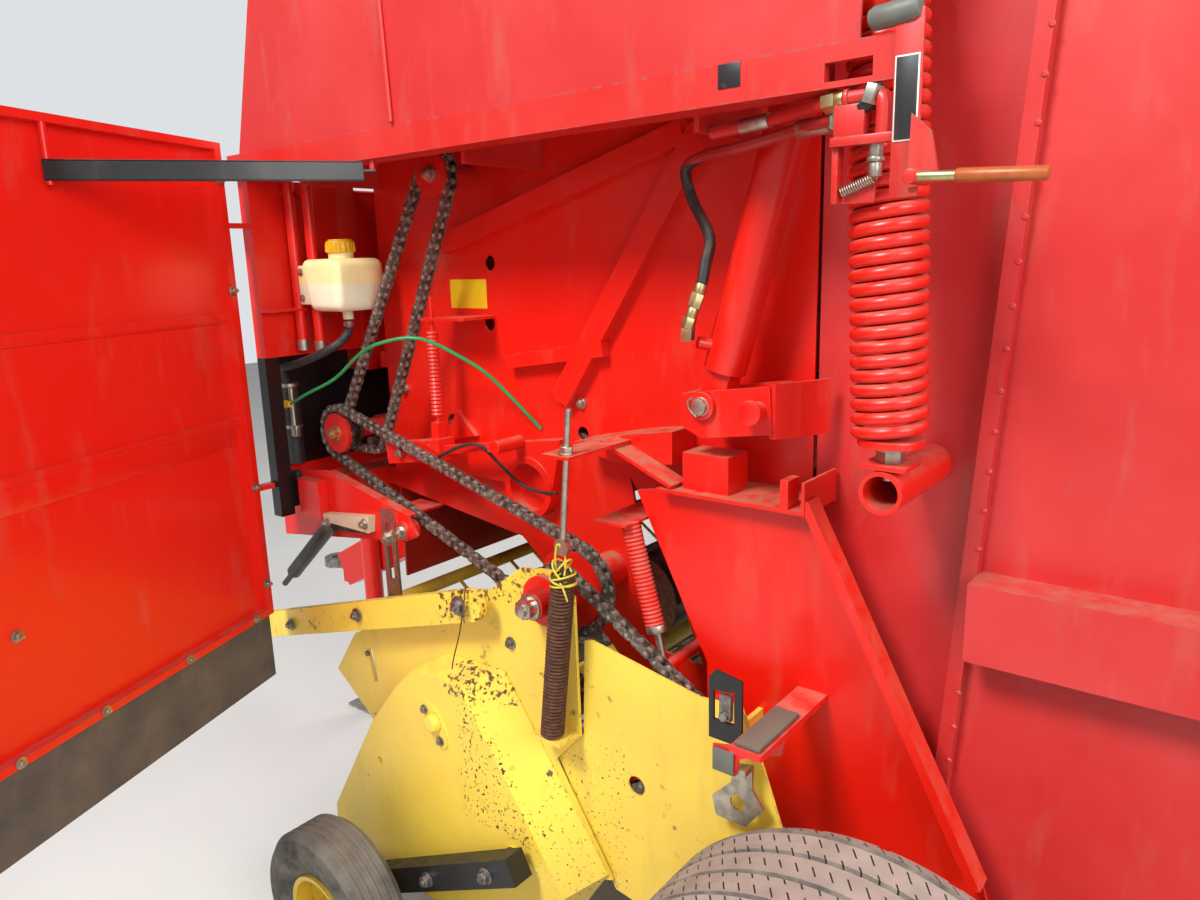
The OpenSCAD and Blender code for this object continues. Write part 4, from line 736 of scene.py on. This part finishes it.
def set_bolts():
    """Bolts of the walls, the drive and the pickup."""
    bm = bmesh.new()
    for x, y, z, across, washer, high, stud in ZINC_BOLTS:
        hex_bolt(bm, place(x, -y, z), LEFT, across, high, washer, stud)
    hex_bolt(bm, place(2072, -860, 1353.4), Vector((0.098, 0, 0.995)), 22, 13, 30)
    mirrored(bm)
    # Nut, washer and stud at the swivel, and the sprockets' bolts, on the drive's side only
    rod(bm, place(1975, -871.6, 1036), place(1975, -877.4, 1036), 27, 32, chamfer=0.8)
    rod(bm, place(1975, -876.6, 1036), place(1975, -897, 1036), 22, 6, chamfer=1.5)
    rod(bm, place(1975, -890, 1036), place(1975, -906, 1036), 12.6, 24, chamfer=1.5)
    finish("zinc_bolts", bm, METAL["zinc"])
    brass = bmesh.new()
    hex_bolt(brass, place(1203, -757, 1287), LEFT, 27, 15, 40, 20)
    finish("drive_bolt", brass, METAL["brass_zinc"])
    bm = bmesh.new()
    for x, y, z, across, washer, high, stud in PICKUP_BOLTS:
        hex_bolt(bm, place(x, -y, z), LEFT, across, high, washer, stud)
    mirrored(bm)
    finish("pickup_bolts", bm, METAL["bare"], "pickup")


# Door hinge in x and y, then each door's body, its angle in the photo and whether it is on the right
HINGE = (1072, -924)
DOORS = (("left_door", 67.4, False), ("right_door", 0.0, True))


def door_point(s, off, z, angle):
    """A place on a door: s from the hinge, off inward from its outer face."""
    along_x, along_y = math.cos(math.radians(angle)), math.sin(math.radians(angle))
    return place(HINGE[0] + s * along_x + off * along_y, HINGE[1] - s * along_y + off * along_x, z)


def set_door_bolts():
    """Bolts of the hinge strips and of the flaps."""
    for body, angle, right in DOORS:
        bm = bmesh.new()
        inward = Vector((math.sin(math.radians(angle)), math.cos(math.radians(angle)), 0))
        for s, z in ((30, 1906), (30, 1654), (30, 1171), (30, 916), (688, 1062)):
            hex_bolt(bm, door_point(s, 26 if s < 100 else 3, z, angle), inward, 15, 7, 24, 14)
        for s in (83, 316, 550, 741, 960, 1090):
            hex_bolt(bm, door_point(s, 26, 841, angle), inward, 13, 6, 22, 10)
        if right:
            flipped(bm)
        finish(body + "_bolts", bm, METAL["zinc"], body)


STAY_START, STAY_END, STAY_Z = (1275, -1359.5), (1587, -878), 1888


def form_stay_bar():
    """Channel of the stay between the bolt on the door and the bolt under the rail."""
    bm = bmesh.new()
    run = Vector(STAY_END) - Vector(STAY_START)
    long = run.length / 1000
    for low, high in (((-0.008, -0.009, -0.017), (long - 0.014, -0.005, 0.021)),
                      ((-0.008, -0.009, 0.017), (long - 0.014, 0.009, 0.021)),
                      ((-0.008, -0.009, -0.017), (long - 0.014, 0.009, -0.013))):
        block(bm, Vector(low), Vector(high), 0.8)
    block(bm, Vector((long - 0.03, -0.009, 0)), Vector((long + 0.01, 0.009, 0.005)), 0.8)
    turn = Matrix.Rotation(math.atan2(run.y, run.x), 4, "Z")
    bmesh.ops.transform(bm, matrix=Matrix.Translation(place(*STAY_START, STAY_Z)) @ turn, verts=bm.verts)
    finish("stay_channel", bm, PAINT["black"], "stay", replaces=["stay_bar"])


def fold_doors():
    """Pressed steps across the doors."""
    for body, angle, right in DOORS:
        bm = bmesh.new()
        for low, high, rise in ((1576, 1599, 9), (1281, 1334, 9)):
            block(bm, Vector((0.05, -0.006, low / 1000)), Vector((1.13, rise / 1000, high / 1000)), 7)
        turn = Matrix.Rotation(-math.radians(angle), 4, "Z")
        bmesh.ops.transform(bm, matrix=Matrix.Translation(place(*HINGE, 0)) @ turn, verts=bm.verts)
        if right:
            flipped(bm)
        finish(body + "_folds", bm, PAINT["door_red"], body)


set_bolts()
set_door_bolts()
form_stay_bar()
fold_doors()


# Oil bottle and pump
def mould_bottle():
    """Rounded tank with ears and a spigot, its ribbed cap and the clamp on the hose."""
    bm = bmesh.new()
    made = bmesh.ops.create_cube(bm, size=1, matrix=Matrix.Translation(place(1242, -724, 1659.5))
                                 @ Matrix.Diagonal((0.152, 0.144, 0.125, 1)))
    # Its front wall slopes back toward the bottom
    for v in made["verts"]:
        if v.co.x < 1.2 and v.co.z < 1.18:
            v.co.x += 0.028
    round_off(bm, edges_of(made["verts"]), 20, 5)
    rod(bm, place(1242, -724, 1715), place(1242, -724, 1737), 30, 32)
    rod(bm, place(1250, -724, 1575), place(1250, -724, 1600), 13, 20)
    block(bm, place(1125.4, -774, 1612), place(1172, -764, 1708), 4)
    finish("oil_tank", bm, TANK, replaces=["oil_bottle"])
    cap = bmesh.new()
    rod(cap, place(1242, -724, 1736), place(1242, -724, 1764), 35, 40, 33, chamfer=2)
    rod(cap, place(1242, -724, 1762), place(1242, -724, 1768), 29, 40, chamfer=2)
    for k in range(20):
        way = Vector((math.cos(k * math.pi / 10), math.sin(k * math.pi / 10), 0))
        rod(cap, place(1242, -724, 1739) + way * 0.034, place(1242, -724, 1760) + way * 0.0325, 2.2, 8)
    finish("oil_cap", cap, AMBER)
    zinc = bmesh.new()
    for z in (1628, 1692):
        hex_bolt(zinc, place(1140, -774, z), LEFT, 9, 3, 19)
    rod(zinc, place(1250, -724, 1558), place(1250.5, -724, 1569), 13.4, 24)
    block(zinc, place(1262, -742, 1556), place(1276, -730, 1571), 1.5)
    for z in (1401, 1290):
        rod(zinc, place(1025, -768.7, z - 4), place(1025, -768.7, z + 5), 24.6, 28)
    rod(zinc, place(1112, -769, 1497), place(1112, -769, 1524), 15, 16)
    rod(zinc, place(1152, -745, 1497), place(1152, -745, 1520), 15, 16)
    rod(zinc, place(1066, -790, 1300), place(1066, -790, 1396), 7, 14)
    block(zinc, place(1058, -798, 1270), place(1082, -782, 1300), 3)
    finish("pump_fittings", zinc, METAL["zinc"])
    plug = bmesh.new()
    rod(plug, place(1046, -812, 1357), place(1096, -812, 1361), 8, 14, chamfer=1.5)
    rod(plug, place(1060, -812, 1358), place(1078, -812, 1359.5), 11, 6, chamfer=1.5)
    finish("cable_plug", plug, AMBER)
    wires = bmesh.new()
    laid(wires, [(1048, -813, 1356), (1020, -822, 1320), (990, -822, 1240), (1010, -815, 1190),
                 (1060, -808, 1172)], 3.2, 8)
    block(wires, place(1058, -816, 1160), place(1096, -802, 1184), 4)
    finish("sensor_wire", wires, HOSE)


mould_bottle()


# Small fittings
def fix_labels():
    """The yellow sign on the wall and the dark labels on the rail and the valve, all blank."""
    sign = bmesh.new()
    block(sign, place(1502, -608, 1598), place(1624, -606.2, 1665), 0.4)
    finish("blank_sign", sign, SIGN)
    label = bmesh.new()
    block(label, place(2410, -886.2, 1934), place(2446, -885.2, 1967), 0.3)
    block(label, place(2671, -892.2, 1838), place(2698, -890.8, 1936), 0.4)
    finish("dark_labels", label, PAINT["black"])
    rim = bmesh.new()
    block(rim, place(2669, -891.2, 1836), place(2700, -889.8, 1938), 0.3)
    finish("label_rim", rim, WHITE)


def fit_valve():
    """The valve under the rail's end: its plate, fittings, hoses and lever."""
    cap = bmesh.new()
    rod(cap, place(2630, -884, 1987), place(2700, -886, 1991), 15, 28, chamfer=11)
    finish("valve_cap", cap, GREY_CAP)
    plate = bmesh.new()
    block(plate, place(2667, -890, 1768), place(2703, -885.3, 1990), 1)
    outline = (2694, 1868), (2719, 1845), (2730, 1793), (2721, 1782), (2692, 1778)
    face = plate.faces.new([plate.verts.new(place(x, -890, z)) for x, z in outline])
    risen = bmesh.ops.extrude_face_region(plate, geom=[face])["geom"]
    bmesh.ops.translate(plate, vec=(0, -0.006, 0), verts=verts_in(risen))
    rod(plate, place(2714, -894, 1788), place(2714, -952, 1788), 9, 20, chamfer=1.5)
    for low, high in (((2583, -880, 1765), (2592, -860, 1850)), ((2583, -868, 1765), (2640, -863, 1789)),
                      ((2583, -888, 1838), (2670, -874, 1850)), ((2586, -884, 1846), (2628, -864, 1890))):
        block(plate, place(*low), place(*high), 1.2)
    laid(plate, [(2600, -872, 1899), (2628, -872, 1899), (2646, -874, 1896), (2652, -876, 1884),
                 (2652, -876, 1850)], 11, 6, 14)
    rod(plate, place(2598, -872, 1899), place(2604, -872, 1899), 14, 24, chamfer=1)
    finish("valve_plate", plate, PAINT["rail_red"], replaces=["valve_stand"])
    fittings = bmesh.new()
    rod(fittings, place(2500, -806, 1878), place(2572, -840, 1875), 13.5, 24, chamfer=1)
    rod(fittings, place(2572, -840, 1875), place(2586, -862, 1873), 16, 6, chamfer=1)
    rod(fittings, place(2632, -878, 1888), place(2640, -878, 1911), 13, 6, chamfer=1)
    for low, high, r in ((1848, 1822, 10), (1822, 1816, 12), (1816, 1797, 9)):
        rod(fittings, place(2641, -872, low), place(2641, -872, high), r, 24, chamfer=1)
    coil(fittings, place(2596, -872, 1780), place(2640, -872, 1796), 6.5, 2.4, 14, 8, 14)
    rod(fittings, place(2452, -806, 1896), place(2400, -800, 1893), 11.5, 24, chamfer=1)
    finish("valve_fittings", fittings, METAL["zinc"])
    nuts = bmesh.new()
    for low, high, r, sides, wide in (
            ((2566, -866, 1898), (2586, -870, 1899), 15, 6, 1.5),
            ((2586, -870, 1899), (2598, -872, 1899), 12, 20, 1),
            ((2296, -758, 1640), (2290, -765, 1616), 12, 6, 1),
            ((2290, -765, 1616), (2286, -769, 1600), 10, 20, 1),
            ((2286, -769, 1600), (2281, -773, 1582), 12, 6, 1),
            ((2299, -754, 1656), (2296, -758, 1640), 10.6, 20, 1),
            ((2281, -773, 1583), (2278, -773, 1560.6), 10.4, 6, 1)):
        rod(nuts, place(*low), place(*high), r, sides, chamfer=wide)
    finish("hose_nuts", nuts, METAL["brass_zinc"])
    hose = bmesh.new()
    laid(hose, [(2568, -866, 1898), (2520, -838, 1898), (2452, -806, 1896), (2390, -799, 1892),
                (2344, -794, 1890)], 9.5, 6, 14)
    finish("red_hose", hose, PAINT["rail_red"])
    shank = bmesh.new()
    rod(shank, place(2710, -944, 1788), place(2770, -944, 1785), 6.5, 16, chamfer=1)
    finish("lever_shank", shank, METAL["brass_zinc"])
    handle = bmesh.new()
    rod(handle, place(2766, -944, 1785.2), place(2867, -944, 1780), 8.6, 24, 8.2, chamfer=3.5)
    finish("lever_grip", handle, TAN)


def fit_latch():
    """The door's latch: tongue, rubber pad and stop."""
    latch = bmesh.new()
    block(latch, place(2400, -866, 930), place(2424, -856, 978), 3)
    rod(latch, place(2412, -852, 940), place(2412, -874, 940), 8, 16, chamfer=1)
    finish("latch_tongue", latch, METAL["bare"])
    pad = bmesh.new()
    block(pad, place(2476, -946, 946.2), place(2521, -806, 954), 3)
    finish("latch_pad", pad, FLAP)
    stop = bmesh.new()
    block(stop, place(2391, -872, 835), place(2432, -866.2, 878), 2)
    finish("latch_stop", stop, GREY_CAP)


# How far the tailgate's seam leans rearward per mm of height
SEAM_LEAN = 102 / 1600


def fit_small_parts():
    """Cable, loose wire, seam rod, pins, stubs, the cover's boss and the seam's rivets."""
    cable = bmesh.new()
    laid(cable, [(1560, -727, 1262), (1580, -727, 1271), (1640, -724, 1296), (1690, -716, 1300),
                 (1716, -680, 1250), (1735, -644, 1205), (1790, -642, 1192), (1850, -642, 1196)], 4, 8)
    finish("black_cable", cable, HOSE)
    wire = bmesh.new()
    laid(wire, [(1800, -884, 1040), (1792, -888, 990), (1775, -888, 930), (1752, -888, 870),
                (1744, -888, 842)], 1.6, 6, 6)
    finish("loose_wire", wire, METAL["rusty"], "pickup")
    seam = bmesh.new()
    rod(seam, place(1668, -888, 2193), place(1677, -889, 1974), 5, 12)
    finish("seam_rod", seam, PAINT["dust_and_sky_reflection_red"])
    ball = bmesh.new()
    rod(ball, place(2203, -742, 919), place(2203, -764, 919), 15, 24, chamfer=4)
    rod(ball, place(2198, -740, 938), place(2186, -740, 990), 7.6, 16)
    rod(ball, place(2186, -740, 988), place(2182, -740, 1003), 20, 24, chamfer=1)
    rod(ball, place(2298, -748, 1446), place(2298, -758, 1446), 17, 28, chamfer=2)
    rod(ball, place(2298, -757, 1446), place(2298, -768, 1446), 15, 28, chamfer=2)
    laid(ball, [(2286, -764, 1462), (2276, -764, 1454), (2280, -764, 1440), (2294, -764, 1428)], 2, 5)
    finish("pins_and_balls", ball, METAL["zinc"])
    stub = bmesh.new()
    rod(stub, place(2406, -768, 1446), place(2406, -781, 1446), 21, 32, chamfer=3)
    rod(stub, place(2298, -752, 1446), place(2298, -757.4, 1446), 25, 32, chamfer=1)
    finish("bracket_stubs", stub, PAINT["red"])
    boss = bmesh.new()
    turn = Matrix.Rotation(math.radians(53), 4, "Y") @ Matrix.Rotation(math.pi / 2, 4, "X")
    oval = Matrix.Translation(place(1658, -880.5, 677)) @ turn @ Matrix.Diagonal((1.35, 0.8, 1, 1))
    bmesh.ops.create_cone(boss, cap_ends=True, segments=36, radius1=0.047, radius2=0.045, depth=0.006,
                          matrix=oval)
    rod(boss, place(1662, -883, 684), place(1662, -899, 684), 25, 32, 19, chamfer=3)
    mirrored(boss)
    finish("cover_boss", boss, PAINT["yellow"], "pickup")
    rivets = bmesh.new()
    for k in range(24):
        z = 720 + k * 64
        x = 2704 + (z - 690) * SEAM_LEAN
        rod(rivets, place(x, -630, z), place(x, -632.5, z), 5, 10, 3)
    mirrored(rivets)
    finish("seam_rivets", rivets, PAINT["dust_and_sky_reflection_red"], "tailgate")


fix_labels()
fit_valve()
fit_latch()
fit_small_parts()


# Light and floor
def lamp(name, at, size, power, target):
    """A square lamp of size metres and power watts at a place, aimed at another."""
    data = bpy.data.lights.new(name, "AREA")
    data.shape, data.size, data.energy = "SQUARE", size, power
    light = bpy.data.objects.new(name, data)
    light.location = at
    light.rotation_euler = (Vector(target) - Vector(at)).to_track_quat("-Z", "Y").to_euler()
    bpy.context.scene.collection.objects.link(light)


def light_studio():
    lamp("key", (1.6, -4.8, 5.4), 1.5, 430, (1.9, -0.7, 0.6))
    lamp("fill", (6.6, -2.6, 2.9), 2.6, 180, (1.5, -1.1, 0.7))
    lamp("back", (1.0, 6.0, 4.5), 4.0, 240, (1.8, 0.4, 0.6))
    world = bpy.data.worlds.new("studio")
    world.use_nodes = True
    bpy.context.scene.world = world
    tree = world.node_tree
    shade = tree.nodes["Background"]
    shade.inputs["Color"].default_value = colour("#E4E8EC")
    shade.inputs["Strength"].default_value = 0.5
    seen = add(tree, "Background", inputs={"Color": colour("#E9ECEF"), "Strength": 0.9})
    rays = add(tree, "LightPath")
    blend = add(tree, "MixShader", {0: rays.outputs["Is Camera Ray"], 1: shade.outputs[0], 2: seen.outputs[0]})
    tree.links.new(blend.outputs[0], tree.nodes["World Output"].inputs["Surface"])


def lay_floor():
    """A plain pale studio floor."""
    bm = bmesh.new()
    bmesh.ops.create_grid(bm, x_segments=1, y_segments=1, size=14,
                          matrix=Matrix.Translation(place(1800, 0, 0)))
    data = bpy.data.meshes.new("floor")
    bm.to_mesh(data)
    bm.free()
    floor = bpy.data.objects.new("floor", data)
    bpy.context.scene.collection.objects.link(floor)
    material, tree, shader, point = new_material("pale_floor", Roughness=0.85)
    clouds = spots(tree, point, 900, 0.3, 0.8, 4)
    set_tone(tree, shader, mixed(tree, clouds, colour("#D3D1CD"), colour("#CBC8C3")))
    data.materials.append(material)


light_studio()
lay_floor()
bpy.context.scene.view_settings.view_transform = "Standard"
